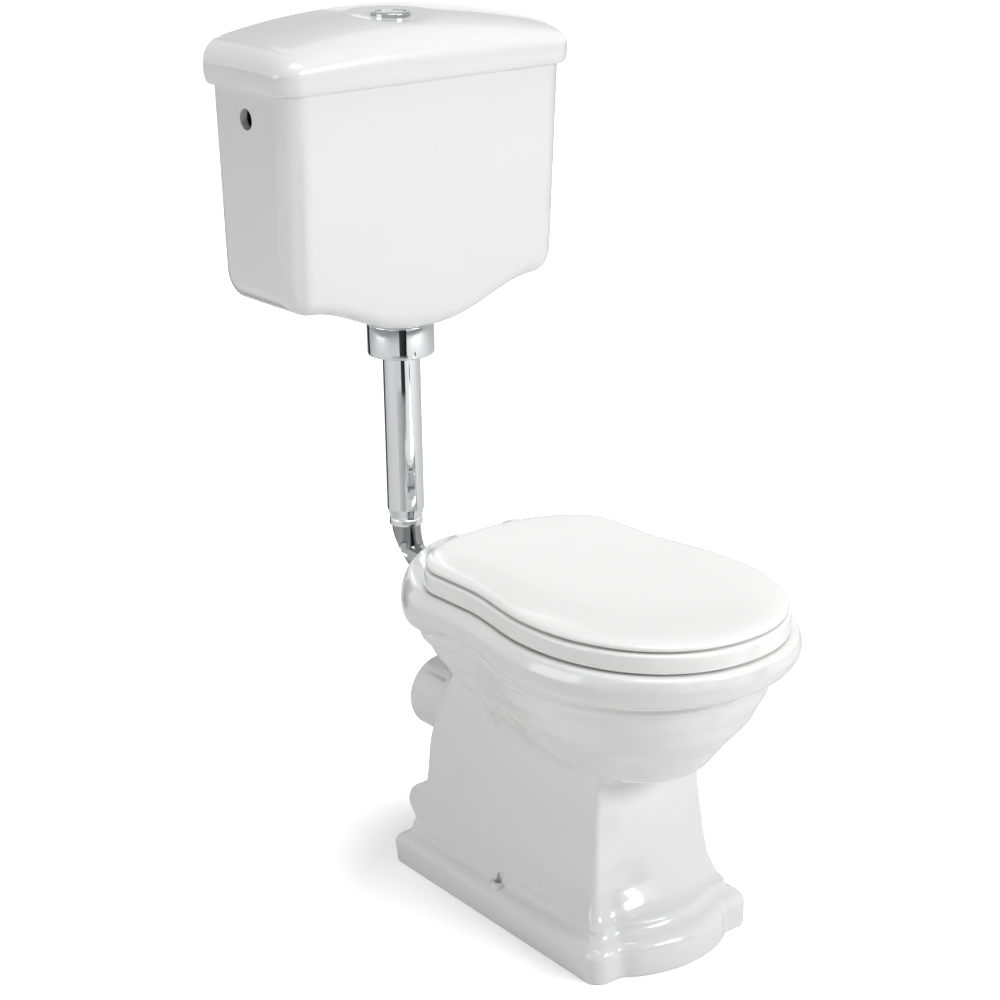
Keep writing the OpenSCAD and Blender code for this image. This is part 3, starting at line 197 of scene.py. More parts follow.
def block(name, low, high):
    """Box between two corners, used as a cutter or a rib."""
    (x0, y0, z0), (x1, y1, z1) = low, high
    base = [(x0, y0), (x1, y0), (x1, y1), (x0, y1)]
    return loft(name, [[(x, y, z) for x, y in base] for z in (z0, z1)])


print("boolean and turning helpers ready")

# %% [markdown]
# Heights and insets are given at a few stations and have to flow between them without a wave.
# A monotone cubic does that: unlike a common spline it never overshoots a station, so the fine
# cove under the rim keeps its depth.

# %% Smooth rows between stations
def monotone(x, y, at):
    """Monotone cubic through (x, y) at the places at; y may have several columns."""
    x, y = np.asarray(x, float), np.asarray(y, float)
    y = y[:, None] if y.ndim == 1 else y
    h = np.diff(x)[:, None]
    slope = np.diff(y, axis=0) / h
    tangent = np.zeros_like(y)
    w1, w2 = 2 * h[1:] + h[:-1], h[1:] + 2 * h[:-1]
    same = slope[1:] * slope[:-1] > 0
    with np.errstate(divide="ignore", invalid="ignore"):
        mean = (w1 + w2) / (w1 / slope[:-1] + w2 / slope[1:])
    tangent[1:-1] = np.where(same, mean, 0)
    tangent[0], tangent[-1] = slope[0], slope[-1]
    i = np.clip(np.searchsorted(x, at, side="right") - 1, 0, len(x) - 2)
    t = ((at - x[i]) / h[i, 0])[:, None]
    return ((2 * t ** 3 - 3 * t ** 2 + 1) * y[i] + (t ** 3 - 2 * t ** 2 + t) * h[i] * tangent[i]
            + (3 * t ** 2 - 2 * t ** 3) * y[i + 1] + (t ** 3 - t ** 2) * h[i] * tangent[i + 1])


def run_of(points):
    """Length run along a line of points up to each of them."""
    return np.concatenate([[0], np.cumsum(np.hypot(*np.diff(points, axis=0).T))])


def flowing(rows, count):
    """Rows resampled evenly along the line that their first two columns draw."""
    rows = np.asarray(rows, float)
    run = run_of(rows[:, :2])
    return monotone(run, rows, np.linspace(0, run[-1], count))


print("monotone check:", monotone([0, 1, 2], [0, 1, 1], np.array([0.5, 1.5])).ravel().round(3))

# %% [markdown]
# The plan of rim, seat and cover is a violin: a round nose, a soft waist and a rounder tail. It
# could be drawn by hand as a curve. Written as superellipse quarters and a cosine blend it keeps
# its parallel offsets true, which is what makes seat and rim run together all round.

# %% Outlines in plan
PIPE_Y = 295.0
ON_AXIS = (0, PIPE_Y, 0)  # the flush pipe's axis, which the turned pieces share


def ease(t):
    return 0.5 - 0.5 * np.cos(np.pi * np.clip(t, 0, 1))


def mix(a, b, t):
    return a + (b - a) * t


def quarter(w, start, end, p, n):
    """Superellipse quarter from the axis at start out to the half width w at end, as (x, d)."""
    a = quarter_turn(n)
    return np.stack([w * np.sin(a) ** (2 / p), mix(end, start, np.cos(a) ** (2 / p))], -1)


def violin(w, waist, nose, wide, waist_at, rear_at, tail, p=2.15, q=2.1, dense=1):
    """Half outline (x, d) from nose to tail; d is the distance forward of the flush pipe.

    It has about 150 points, times dense.
    """
    front = quarter(w, nose, wide, p, 64 * dense + 1)
    t = np.linspace(0, 1, 28 * dense + 1)[1:]
    blend = np.stack([mix(w, waist, ease(t)), mix(wide, waist_at, t)], -1)
    back = quarter(waist, tail, rear_at, q, 56 * dense + 1)[::-1]
    return np.concatenate([front, blend, back[int(rear_at >= waist_at):]])


def egg(w, nose, wide, tail, p=2.1, n=49):
    return np.concatenate([quarter(w, nose, wide, p, n), quarter(w, tail, wide, p, n)[::-1][1:]])


def whole(half, z):
    """Closed ring of points from a half outline, counter-clockwise from above."""
    loop = np.concatenate([half, half[-2:0:-1] * (-1, 1)])
    return np.stack([loop[:, 0], PIPE_Y - loop[:, 1], np.broadcast_to(z, len(loop))], -1)


COVER_PLAN = np.array([163, 145, 663, 463, 320, 264, 174])
print("points in an outline:", len(whole(violin(*COVER_PLAN), 0)))

# %% [markdown]
# The pan's outside runs from the rim's lip over a rounded band, a cove and a bead into the deep
# belly, which sits on a narrow pedestal over a moulded plinth. Joining a bowl to a foot would
# leave a hard seam where real china has a soft fillet. So both are read as a radius for each
# compass direction, one profile line is drawn for each direction, and that line is rounded where
# the belly meets the foot.

# %% Pan: the bowl's stations
RIM_TOP, BEAD_Z, REAR_DROP, WAIST_AT = 428.0, 375.0, 20.0, 320.0
RIM = Sizes(half=176, waist=152, nose=676, wide=463, rear_at=240, tail=90, power=1.6)
BELLY_PLAN = Sizes(half=170, waist=(148, 157), nose=642, wide=440, power=(1.6, 2), depth=125)
BAND = [  # depth under the rim, then insets at the side, nose and tail, then share of the rear drop
    (0, 5, 5, 5, 0), (0.4, 3.2, 3.2, 3.4, 0), (1.4, 1.5, 1.5, 1.6, 0), (3.2, 0, 0, 0, 0),
    (7, -2.5, -0.5, -3, 0), (16, -6, -1, -7, 0.1), (25, -7, 2, -9, 0.25), (34, -6, 7, -8, 0.5),
    (41, -1, 14, -1, 0.75), (45, 6, 26, 11, 0.8), (48, 10, 36, 20, 0.8)]
BELLY = [  # height above the floor, inset all round, how far the tail has come in
    (375, 0, 30), (371, 0.5, 34), (367, 4.5, 44), (350, 9, 66), (335, 17, 84), (320, 24, 105),
    (300, 39, 131), (288, 50, 147), (275, 60, 165), (262, 70, 184), (252, 78, 198)]
BOWL_END = [  # these rows have the columns of bowl_rows
    (244, 82, 78, 548, 440, 314, 312, 300, 2, 0), (240, 72, 68, 535, 440, 318, 316, 306, 2, 0),
    (238, 40, 38, 480, 430, 350, 346, 330, 2, 0)]


def bowl_rows():
    """Rows of (z, half width, waist, nose, wide, waist at, rear at, tail, tail power, drop)."""
    rows = []
    for h, s, n, t, drop in BAND:
        rows.append((RIM_TOP - h, RIM.half - s, RIM.waist - s * (1.4 if s < 0 else 1),
                     RIM.nose - n, RIM.wide - n / 2, WAIST_AT, RIM.rear_at, RIM.tail + t,
                     RIM.power, REAR_DROP * drop))
    for z, e, t in BELLY:
        low = np.clip((BEAD_Z - z) / BELLY_PLAN.depth, 0, 1)
        rows.append((z, BELLY_PLAN.half - e, mix(*BELLY_PLAN.waist, low) - e,
                     BELLY_PLAN.nose - e, BELLY_PLAN.wide, WAIST_AT - 6 * low,
                     min(RIM.rear_at + t * 0.45, 312 - 6 * low), RIM.tail + t,
                     mix(*BELLY_PLAN.power, low), REAR_DROP * np.clip((z - 300) / 75, 0, 1)))
    return rows + BOWL_END


print("bowl stations:", len(bowl_rows()))

# %% Pan: the foot's stations
FOOT = [  # height, half width, front, rear, bow of the front, corner radius
    (0, 126.6, 542.6, 119.4, 26, 19), (1, 127.2, 543.2, 118.8, 26, 19.5),
    (1.8, 128, 544, 118, 26, 20), (31, 128, 544, 118, 26, 20), (36, 126.5, 542.5, 119.5, 26, 19),
    (41, 123, 539, 123, 26, 18), (45, 118, 534, 128, 26, 16), (48, 113, 529, 133, 24, 15),
    (54, 109.5, 525, 136, 22, 14), (61, 108, 523, 137, 20, 13), (63, 105.5, 518, 138, 18, 12),
    (70, 103.5, 512, 135, 14, 11), (77, 100.5, 509, 124, 11, 10), (86, 97.5, 506, 117, 8, 9),
    (96, 95, 503, 118, 5, 9), (106, 93.5, 502, 127, 4, 8), (114, 92.3, 501, 140, 2, 8),
    (120, 91.5, 500, 150, 1, 8), (140, 89.3, 498.5, 152, 0, 7), (170, 86.1, 496.5, 152, 0, 7),
    (200, 83.7, 495, 158, 0, 7), (230, 82.5, 495, 172, 0, 7), (266, 82.5, 493, 190, 0, 7),
    (300, 80.5, 487, 207, 0, 7), (345, 76, 475, 236, 0, 7)]
BOW_WIDTH, BOW_FULL, BOW_KNEE = 0.84, 1.07, 0.72  # shares of the straight front, the bow, its width


def foot_plan(z, half, front, rear, bow, corner, wall=0.0):
    """Half outline (x, d) of the foot, drawn in by a wall where that is given.

    The front bows out as a parabola up to the knee and runs out level in a hollow beyond it.
    """
    back_half = half - mix(11, 2, np.clip(z / 90, 0, 1)) - wall
    half, front, rear = half - wall, front - wall, rear + wall
    corner, edge = max(corner - wall / 2, 4), 6
    straight = half - corner
    u = np.concatenate([np.linspace(0, BOW_KNEE, 22)[:-1], np.linspace(BOW_KNEE, 1, 19)])
    t = np.clip((u - BOW_KNEE) / (1 - BOW_KNEE), 0, 1)
    hollow = ((1 - BOW_KNEE ** 2) * (2 * t ** 3 - 3 * t * t + 1)
              - 2 * BOW_KNEE * (1 - BOW_KNEE) * (t ** 3 - 2 * t * t + t))
    out = bow * BOW_FULL * np.where(u < BOW_KNEE, 1 - u * u, hollow)
    face = np.stack([u * straight * BOW_WIDTH, front + out], -1)
    a = quarter_turn(13)
    turn = np.stack([straight + corner * np.sin(a), front - corner * (1 - np.cos(a))], -1)
    back = np.linspace(0, 1, 18)[1:]
    side = np.stack([mix(half, back_half, back), mix(front - corner, rear + edge, back)], -1)
    end = np.stack([back_half - edge * (1 - np.cos(a)), rear + edge - edge * np.sin(a)], -1)[1:]
    return np.concatenate([face, turn, side, end, [(back_half / 2, rear), (0, rear)]])


print("foot stations:", len(FOOT))

# %% [markdown]
# For each compass direction the belly's radius is followed down until the foot stands out
# further. Rows are crowded towards that meeting line, and a moving average that shrinks away from
# it turns the corner into a fillet of constant size. Outlines are read at points a fraction of a
# millimetre apart, because coarse ones would show as faint lines in the glaze.

# %% Pan: one profile for each direction
CENTRE_D = 330.0
COARSE, FINE = 0.9, 0.22  # degrees between directions
FINE_ZONES = (22, 37), (145, 161)  # the corners of the foot
marks = [0.0]
while marks[-1] < 180:
    near = any(low < marks[-1] < high for low, high in FINE_ZONES)
    marks.append(marks[-1] + (FINE if near else COARSE))
COMPASS = np.radians(np.array(marks) * 180 / marks[-1])


def along(points, run, at):
    """Places on a line of points, given as lengths run along it."""
    return np.stack([np.interp(at, run, points[:, c]) for c in range(2)], -1)


def finely(half, n=3000):
    """The same line with many more points, so that straight stretches have them too."""
    run = run_of(half)
    return along(half, run, np.linspace(0, run[-1], n))


def radius_of(half):
    """Radius of a half outline in each direction about the pan's centre."""
    x, d = half.T
    return np.interp(COMPASS, np.arctan2(x, d - CENTRE_D), np.hypot(x, d - CENTRE_D))


def rear_drop(half, share):
    return share * ease((WAIST_AT - half[:, 1]) / 150)


bowl_r, bowl_z = [], []
for z, w, waist, nose, wide, waist_at, rear_at, tail, q, drop in flowing(bowl_rows(), 260):
    rear_at = min(rear_at, waist_at - 0.01)
    half = finely(violin(w, waist, nose, wide, waist_at, rear_at, tail, q=q, dense=12))
    angle = np.arctan2(half[:, 0], half[:, 1] - CENTRE_D)
    bowl_r.append(radius_of(half))
    bowl_z.append(z - np.interp(COMPASS, angle, rear_drop(half, drop)))
bowl_r, bowl_z = np.array(bowl_r), np.array(bowl_z)

LEVELS = np.arange(0, 346.0)  # one row of the foot for each millimetre of height
foot_rows = monotone([f[0] for f in FOOT], FOOT, LEVELS)
foot_r = np.array([radius_of(finely(foot_plan(*row))) for row in foot_rows])
print("directions:", len(COMPASS), "levels of the foot:", len(foot_r))

# %% Pan: round the meeting line and close the skin
UPPER_ROWS, BELLY_ROWS, PEDESTAL_ROWS, CROWDING = 56, 64, 52, 1.6
FILLET, COVE_Z, COVE_REACH, PLINTH_TOP = 17.0, 370.0, 4.5, 118
FOOT_LEVELS = np.concatenate([np.arange(PLINTH_TOP, 54, -2.0), np.arange(54, 28, -1.3),
                              [24, 16, 8, 3.4, 2.4, 1.6, 1, 0.5, 0]])


def profile(k):
    """(radius, height) down the pan's outside in one direction, with its fillet."""
    foot_at = np.interp(bowl_z[:, k], LEVELS, foot_r[:, k])
    stop = int(np.argmax(bowl_r[:, k] < foot_at))
    gap0 = bowl_r[stop - 1, k] - foot_at[stop - 1]
    gap1 = foot_at[stop] - bowl_r[stop, k]
    t = gap0 / (gap0 + gap1)
    meet = [mix(rows[stop - 1, k], rows[stop, k], t) for rows in (bowl_r, bowl_z)]
    upper = np.concatenate([np.stack([bowl_r[:stop, k], bowl_z[:stop, k]], -1), [meet]])
    down = np.linspace(meet[1], PLINTH_TOP, 120)
    lower = np.stack([np.interp(down, LEVELS, foot_r[:, k]), down], -1)
    run_up, run_low = run_of(upper), run_of(lower)
    line = np.concatenate([upper, lower[1:]])
    run = run_of(line)
    corner = run_up[-1]
    if meet[1] < BEAD_Z - 30:
        band_end = np.interp(-(BEAD_Z - 12), -upper[:, 1], run_up)
    else:
        band_end = corner * 0.7
    at = np.concatenate([
        np.linspace(0, band_end, UPPER_ROWS, endpoint=False),
        mix(band_end, corner, 1 - (1 - np.linspace(0, 1, BELLY_ROWS)) ** CROWDING),
        corner + run_low[-1] * np.linspace(0, 1, PEDESTAL_ROWS)[1:] ** CROWDING])
    # The moving average comes from the running integral of the line, and is taken twice over
    fine = np.linspace(0, run[-1], 1400)
    spot = along(line, run, fine)
    for _ in range(2):
        slices = (spot[1:] + spot[:-1]) / 2 * np.diff(fine)[:, None]
        total = np.concatenate([[[0, 0]], np.cumsum(slices, axis=0)])
        reach = FILLET * ease((2.4 * FILLET - np.abs(fine - corner)) / (1.6 * FILLET))
        reach = np.maximum(reach, COVE_REACH * ease((30 - np.abs(spot[:, 1] - COVE_Z)) / 12))
        reach = np.maximum(np.minimum(reach, np.minimum(fine, run[-1] - fine)), 1e-6)
        mean = along(total, fine, fine + reach) - along(total, fine, fine - reach)
        spot = np.where(reach[:, None] > 0.3, mean / (2 * reach[:, None]), spot)
    points = along(spot, fine, at)
    plinth = np.stack([np.interp(FOOT_LEVELS[1:], LEVELS, foot_r[:, k]), FOOT_LEVELS[1:]], -1)
    return np.concatenate([points, plinth])


profiles = np.array([profile(k) for k in range(len(COMPASS))])
radius, height = profiles[..., 0], profiles[..., 1]
side = np.stack([radius * np.sin(COMPASS)[:, None],
                 PIPE_Y - CENTRE_D - radius * np.cos(COMPASS)[:, None], height], -1)
other = side[-2:0:-1] * (-1, 1, 1)
pan = loft("pan_glazed", np.concatenate([side, other]).transpose(1, 0, 2))
print("pan skin:", len(pan.data.vertices), "points")

# %% [markdown]
# Inside, the bowl falls from the flushing rim through a funnel to the sump, and the trap climbs
# over its weir and down to the spigot. These are lofts too. The hollow under the foot follows the
# outside one wall further in, as slip-cast china does.

# %% Pan: inside of the bowl
BOWL_IN = [  # height, half width, nose, wide, tail
    (122, 20, 415, 390, 368), (132, 34, 430, 395, 358), (155, 48, 446, 405, 352),
    (185, 57, 458, 415, 350), (215, 63, 468, 420, 344), (240, 67, 478, 425, 338),
    (256, 76, 530, 436, 330), (268, 88, 555, 440, 324), (284, 101, 572, 440, 316),
    (300, 115, 587, 440, 309), (320, 130, 602, 440, 300), (340, 139, 611, 440, 293),
    (360, 147, 620, 441, 285), (380, 151, 625, 446, 280), (396, 155, 633, 452, 277)]
LIP = [  # the flushing channel, then the lip's underside, face and rounded top edge
    (398, 156, 655, 455, 276), (414, 155, 654, 455, 276), (414, 140, 640, 455, 286),
    (402, 138.5, 638.5, 455, 287), (399, 137, 637, 455, 288.5), (398, 135, 635, 455, 290),
    (398, 131, 631, 455, 290.5), (399.2, 129.3, 629.3, 455, 291.5), (402, 128, 628, 455, 292),
    (410, 128, 628, 455, 292), (421, 128, 628, 455, 292), (424.5, 128.8, 628.8, 455, 291.2),
    (426.8, 130.4, 630.4, 455, 289.6), (428, 133, 633, 455, 287), (430, 133, 633, 455, 287)]


def egg_rings(rows, grow=0.0, shift=0.0):
    return np.array([whole(egg(w + grow, n + grow, d, t - shift), z) for z, w, n, d, t in rows])


bowl_rows_in = np.concatenate([flowing(BOWL_IN, 90), LIP])
bowl_inside = loft("bowl_inside", egg_rings(bowl_rows_in))
sump_rows = np.array(BOWL_IN[:6], float)
sump_rows[0, 0], sump_rows[-1, 0] = 109, 246
sump_shell = loft("sump_shell", egg_rings(flowing(sump_rows, 30), 10, 12))
print("bowl is", 2 * min(row[1] for row in LIP), "mm wide inside the rim")

# %% Pan: the trap's bend
TRAP_R, TRAP_WALL, BEND = 37.0, 9.0, 52.0
DIP_D, DIP_Z, CREST_Z, SPIGOT_Z = 348.0, 150.0, 277.0, 201.0
RISE, FALL = np.radians([68, 50])
rise_len = (CREST_Z - DIP_Z - 2 * BEND * (1 - np.cos(RISE))) / np.sin(RISE)
rise_d = DIP_D - BEND * np.sin(RISE)
crest_d = rise_d - rise_len * np.cos(RISE) - BEND * np.sin(RISE)
fall_d = crest_d - BEND * np.sin(FALL)
fall_z = CREST_Z - BEND * (1 - np.cos(FALL))
fall_len = (fall_z - SPIGOT_Z - BEND * (1 - np.cos(FALL))) / np.sin(FALL)
level_d = fall_d - fall_len * np.cos(FALL) - BEND * np.sin(FALL)
trap_line = [(DIP_D + 70, DIP_Z, 0)]
for way, d, z, start, end, n in (
        (-1, DIP_D, DIP_Z, 0, RISE, 16), (1, crest_d, CREST_Z, RISE, -FALL, 26),
        (-1, level_d, SPIGOT_Z, -FALL, 0, 14)):
    trap_line += [(d + way * BEND * np.sin(a), z - way * BEND * (1 - np.cos(a)), a)
                  for a in np.linspace(start, end, n)]


def trap_tube(name, r):
    turn = full_turn(56)
    return loft(name, [np.stack([-r * np.cos(turn), PIPE_Y - d - r * np.sin(turn) * np.sin(a),
                                 z + r * np.sin(turn) * np.cos(a)], -1) for d, z, a in trap_line])


print("weir", round(CREST_Z - TRAP_R), "mm above the floor; trap ends at d", round(level_d, 1))

# %% Pan: spigot, flush inlet and the cutters
SPIGOT_R, SPIGOT_BORE, SPIGOT_END, SPIGOT_FLARE = 51.0, 43.0, 67.0, 9.0
INLET_Z, INLET_R, INLET_BOSS, INLET_END, PEDESTAL_BACK = 374.0, 23.0, 33.0, 80.0, 152.0
SEAT_BOLT, FLOOR_HOLE = (70, 162), (108, 330)  # x at the right, and d


def arc(cx, cy, r, start, end, n=9):
    a = np.radians(np.linspace(start, end, n))
    return list(zip(cx + r * np.cos(a), cy + r * np.sin(a)))


def at_d(d):
    return PIPE_Y - d


def spot_at(x, d, z=0):
    return x, at_d(d), z


wide = SPIGOT_R + SPIGOT_FLARE
spigot = turned("spigot", [(1e-3, at_d(PEDESTAL_BACK + 24)), (wide, at_d(PEDESTAL_BACK + 24))]
                + [(wide, at_d(PEDESTAL_BACK + 1))]
                + arc(wide, at_d(PEDESTAL_BACK - SPIGOT_FLARE), SPIGOT_FLARE, 90, 180)[1:]
                + arc(SPIGOT_R - 3, at_d(SPIGOT_END + 3), 3, 0, 90, 7) + [(1e-3, at_d(SPIGOT_END))],
                (0, 0, SPIGOT_Z), "Y", 128)
inlet_boss = turned("inlet_boss",
                    [(1e-3, at_d(148)), (INLET_BOSS, at_d(148)), (INLET_BOSS, at_d(INLET_END + 4))]
                    + arc(INLET_BOSS - 4, at_d(INLET_END + 4), 4, 0, 90, 6)
                    + [(1e-3, at_d(INLET_END))], (0, 0, INLET_Z), "Y")
floor_pads = [rod("floor_pad", 11.5, 0, 52, spot_at(s * FLOOR_HOLE[0], FLOOR_HOLE[1]))
              for s in (-1, 1)]
hollow = []
for z in (-1, 31, 50, 70, 100, 140, 200, 232):
    row = foot_rows[max(z, 0)].copy()
    row[3] = max(row[3], 141 if 50 < z < 130 else 0)  # keeps the rear's wall at the throat
    hollow.append(whole(foot_plan(*row, wall=15), z))
foot_hollow = loft("foot_hollow", hollow)

combine(pan, [foot_hollow], "DIFFERENCE")
trap_wall = trap_tube("trap_wall", TRAP_R + TRAP_WALL)
combine(pan, [sump_shell, trap_wall, spigot, inlet_boss] + floor_pads, "UNION")
cutters = [
    bowl_inside, trap_tube("trap_way", TRAP_R),
    rod("spigot_bore", SPIGOT_BORE, at_d(level_d + 3), at_d(SPIGOT_END - 1), (0, 0, SPIGOT_Z),
        "Y", 96),
    rod("inlet_bore", INLET_R, at_d(148), at_d(INLET_END - 1), (0, 0, INLET_Z), "Y"),
    block("inlet_chamber", (-45, at_d(262), 351), (45, at_d(128), 410)),
    rod("inlet_way", INLET_R - 3, at_d(304), at_d(261), (0, 0, INLET_Z), "Y")]
for s in (-1, 1):
    cutters += [rod("feed_hole", 5, at_d(296), at_d(261), (s * 30, 0, 408), "Y", 32),
                rod("seat_bolt_hole", 5.5, 403, 429, spot_at(s * SEAT_BOLT[0], SEAT_BOLT[1])),
                rod("seat_bolt_pocket", 19, 290, 404, spot_at(s * SEAT_BOLT[0], SEAT_BOLT[1])),
                rod("floor_hole", 5.5, -1, 80, spot_at(s * FLOOR_HOLE[0], FLOOR_HOLE[1]))]
combine(pan, cutters, "DIFFERENCE")
smooth(pan)
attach(pan, "pan_and_cistern")
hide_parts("pan")
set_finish(pan, "china")
print("pan:", len(pan.data.vertices), "points, volume", round(signed_volume(pan.data) * 1e6), "cm3")

# %% [markdown]
# The seat is a moulded ring and the cover a shallow pillow of the same outline. Both are thick
# with soft edges, and the cover is recessed underneath. Rings of the violin outline at growing
# insets give the soft edge directly, where a bevel modifier would leave the same radius all over.

# %% Seat ring
SEAT_Z, SEAT_T, COVER_GAP, COVER_T, HINGE_D, HINGE_Z = 433.0, 21.0, 2.5, 13.5, 162.0, 440.0
SEAT_LUG_X, STRAP_X, PIN_HOLE_R, SEAT_OVERHANG = 56.7, 44.4, 3.55, 3
SEAT_OUT = [  # height over the ring's underside, inset: a lip below, the edge, the rounded top
    (-0.6, 9), (-2.4, 4), (-2.4, 2.4), (-1.9, 1.2), (-0.8, 0.3), (0.8, 0), (8, 0), (14, 0),
    (16.8, 0.15), (18.6, 0.7), (19.8, 1.7), (20.5, 3.1), (20.9, 5.4), (21, 9), (21, 20)]
SEAT_IN = [  # the same down the hole
    (21, 22), (21, 15), (20.8, 10), (20.2, 7), (19, 4.4), (17, 2.2), (14, 0.7), (10.5, 0), (6, 0),
    (3, 0.6), (1.2, 1.8), (0, 4)]


def cover_outline(e):
    """The cover's half outline, drawn in by e."""
    return violin(*(COVER_PLAN + e * np.array([-1, -1, -1, 0, 0, 0, 1])))


def hole_outline(e):
    """Half outline of the hole in the ring, let out by e; it has as many points as the cover's."""
    t = np.linspace(0, 1, 29)[1:]
    return np.concatenate([quarter(107 + e, 598 + e, 470, 2.1, 65),
                           np.stack([mix(107 + e, 101 + e, ease(t)), mix(470, 420, t)], -1),
                           quarter(101 + e, 308 - e, 400, 2.1, 57)[::-1]])


seat_rings = [whole(cover_outline(e - SEAT_OVERHANG), SEAT_Z + z) for z, e in SEAT_OUT]
seat_rings += [whole(hole_outline(e), SEAT_Z + z) for z, e in SEAT_IN]
seat_ring = loft("seat_ring_moulded", seat_rings, loop=True)


def hinge_barrel(name, x, half=6.0):
    """Barrel on the hinge axis, with small chamfers."""
    return turned(name, [(1e-3, x - half), (7.2, x - half), (8, x - half + 0.8),
                         (8, x + half - 0.8), (7.2, x + half), (1e-3, x + half)],
                  spot_at(0, HINGE_D, HINGE_Z), "X", 64)


def lug(name, x, far_d, z0, z1, half=5.6):
    """Hinge barrel with an arm that reaches into the moulding."""
    arm = block(name, spot_at(x - half, far_d, z0), spot_at(x + half, HINGE_D, z1))
    return combine(hinge_barrel(name, x), [arm], "UNION")


def pin_hole(x):
    return rod("pin_hole", PIN_HOLE_R, x - 8, x + 8, spot_at(0, HINGE_D, HINGE_Z), "X")


lugs = [lug("seat_lug", s * SEAT_LUG_X, 204, HINGE_Z - 5, HINGE_Z + 7) for s in (-1, 1)]
combine(seat_ring, lugs, "UNION")
seat_cuts = [pin_hole(s * SEAT_LUG_X) for s in (-1, 1)]
for s in (-1, 1):
    for x, d in ((112, 560), (128, 330)):  # the sockets of the buffers
        seat_cuts.append(rod("socket", 7, SEAT_Z - 1, SEAT_Z + 3, spot_at(s * x, d)))
combine(seat_ring, seat_cuts, "DIFFERENCE")
smooth(seat_ring)
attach(seat_ring, "seat")
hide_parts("seat_ring")
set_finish(seat_ring, "seat_white")
print("seat ring:", len(seat_ring.data.vertices), "points")

# %% Cover
COVER_Z = SEAT_Z + SEAT_T + COVER_GAP
COVER_SIDE = [  # height over the cover's underside, inset: the edge and the pillow of the top
    (0, 12.5), (0, 3), (0.3, 1.5), (1, 0.5), (2.2, 0), (3.6, 0.1), (4.9, 0.8), (6, 2.2), (7, 4.3),
    (8, 7.4), (9, 11.6), (10, 17), (10.9, 23.5), (11.7, 31), (12.4, 40), (12.9, 51), (13.3, 63),
    (13.45, 76)]
COVER_UNDER = [(4.8, 19), (4.2, 16), (2.6, 14.2), (0.8, 13.6)]  # the rim of the recess underneath


def shrunk(half, share, middle=430.0):
    """The half outline, smaller by a share about a middle that lies on the axis."""
    return np.stack([half[:, 0] * share, middle + (half[:, 1] - middle) * share], -1)


inner_under, inner_top = cover_outline(COVER_UNDER[0][1]), cover_outline(COVER_SIDE[-1][1])
cover_rings = [whole(shrunk(inner_under, s), COVER_Z + 5) for s in (0.02, 0.3, 0.6, 0.85, 0.97)]
cover_rings += [whole(cover_outline(e), COVER_Z + z) for z, e in COVER_UNDER + COVER_SIDE]
cover_rings += [whole(shrunk(inner_top, s), COVER_Z + COVER_T - 0.1 * s * s)
                for s in (0.8, 0.6, 0.4, 0.2, 0.02)]
cover = loft("seat_cover_moulded", cover_rings)
STRAP = [  # d and z round the arm that joins the hinge barrel to the cover
    (194, 456.5), (169, 456.5), (169, 440), (156, 440), (157.5, 451.5), (159, 454.5), (162, 457),
    (166, 459), (170, 461), (174, 463), (178, 464), (194, 464)]
straps = []
for s in (-1, 1):
    x = s * STRAP_X
    bar = hinge_barrel("strap", x)
    web = loft("strap_web", [[(x + half, at_d(d), z) for d, z in STRAP] for half in (-5.6, 5.6)])
    straps.append(combine(bar, [web], "UNION"))
combine(cover, straps, "UNION")
combine(cover, [pin_hole(s * STRAP_X) for s in (-1, 1)], "DIFFERENCE")
smooth(cover)
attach(cover, "cover")
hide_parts("seat_cover")
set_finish(cover, "seat_white")
print("cover:", len(cover.data.vertices), "points")

# %% [markdown]
# The cistern tapers a little downwards, its belly sweeps from level shoulders to a low middle,
# and all its lower edges are round. Sections across the width make both the sweep and the rounded
# ends, since each section only needs to know how far it is from the end.

# %% Cistern
TANK = Sizes(half=217.0, front=86.5, back=92.0, top=1028.0, low=706.0, shoulder=750.0, sweep=186.0,
             corner=34.0, back_corner=22.0, edge=22.0, end_edge=36.0, wall=10.0, taper_w=10.0,
             taper_d=12.0, taper_end=800.0)
SIDE_HOLE = Sizes(radius=13.5, back=8, z=992)


def drawn_in(x, half, r):
    """How far a rounded corner has drawn in at a distance x from the middle."""
    return 0.0 if x < half - r else r - np.sqrt(max(0.0, r * r - (x - half + r) ** 2))


def tank_section(x, wall, top):
    """Section of the cistern at x, drawn in by the wall and cut off at the top."""
    t = TANK
    half, r = t.half - wall, max(6, t.corner - wall)
    edge, end_edge, ax = max(6, t.edge - wall), max(10, t.end_edge - wall), abs(x)
    cut_front, cut_back = drawn_in(ax, half, r), drawn_in(ax, half, max(6, t.back_corner - wall))
    low = mix(t.low, t.shoulder, ease(ax / t.sweep) ** 1.3) + wall + drawn_in(ax, half, end_edge)
    a = quarter_turn(13)
    z_front = np.concatenate([np.linspace(top, low + edge, 14), low + edge * (1 - np.sin(a[1:]))])
    round_in = np.concatenate([np.zeros(14), edge * (1 - np.cos(a[1:]))])
    share = (t.top - z_front) / (t.top - t.taper_end)
    front = cut_front + wall - (t.front - t.taper_d * share) + round_in
    rear = t.back - wall - cut_back - round_in
    width = x / half * (t.half - t.taper_w / 2 * share - wall)
    return np.stack([np.concatenate([width, width[::-1]]),
                     np.concatenate([front, rear[::-1]]) + PIPE_Y,
                     np.concatenate([z_front, z_front[::-1]])], -1)


def stations(half, r, inner, outer):
    """Places across the width for the sections, crowded towards the round ends."""
    right = np.concatenate([np.linspace(0, half - r, inner, endpoint=False),
                            half - r + r * np.sin(quarter_turn(outer))])
    return np.concatenate([-right[:0:-1], right])


def tank_solid(name, wall, top):
    half, r = TANK.half - wall, max(6, TANK.end_edge - wall)
    return loft(name, [tank_section(x, wall, top) for x in stations(half, r, 30, 22)])


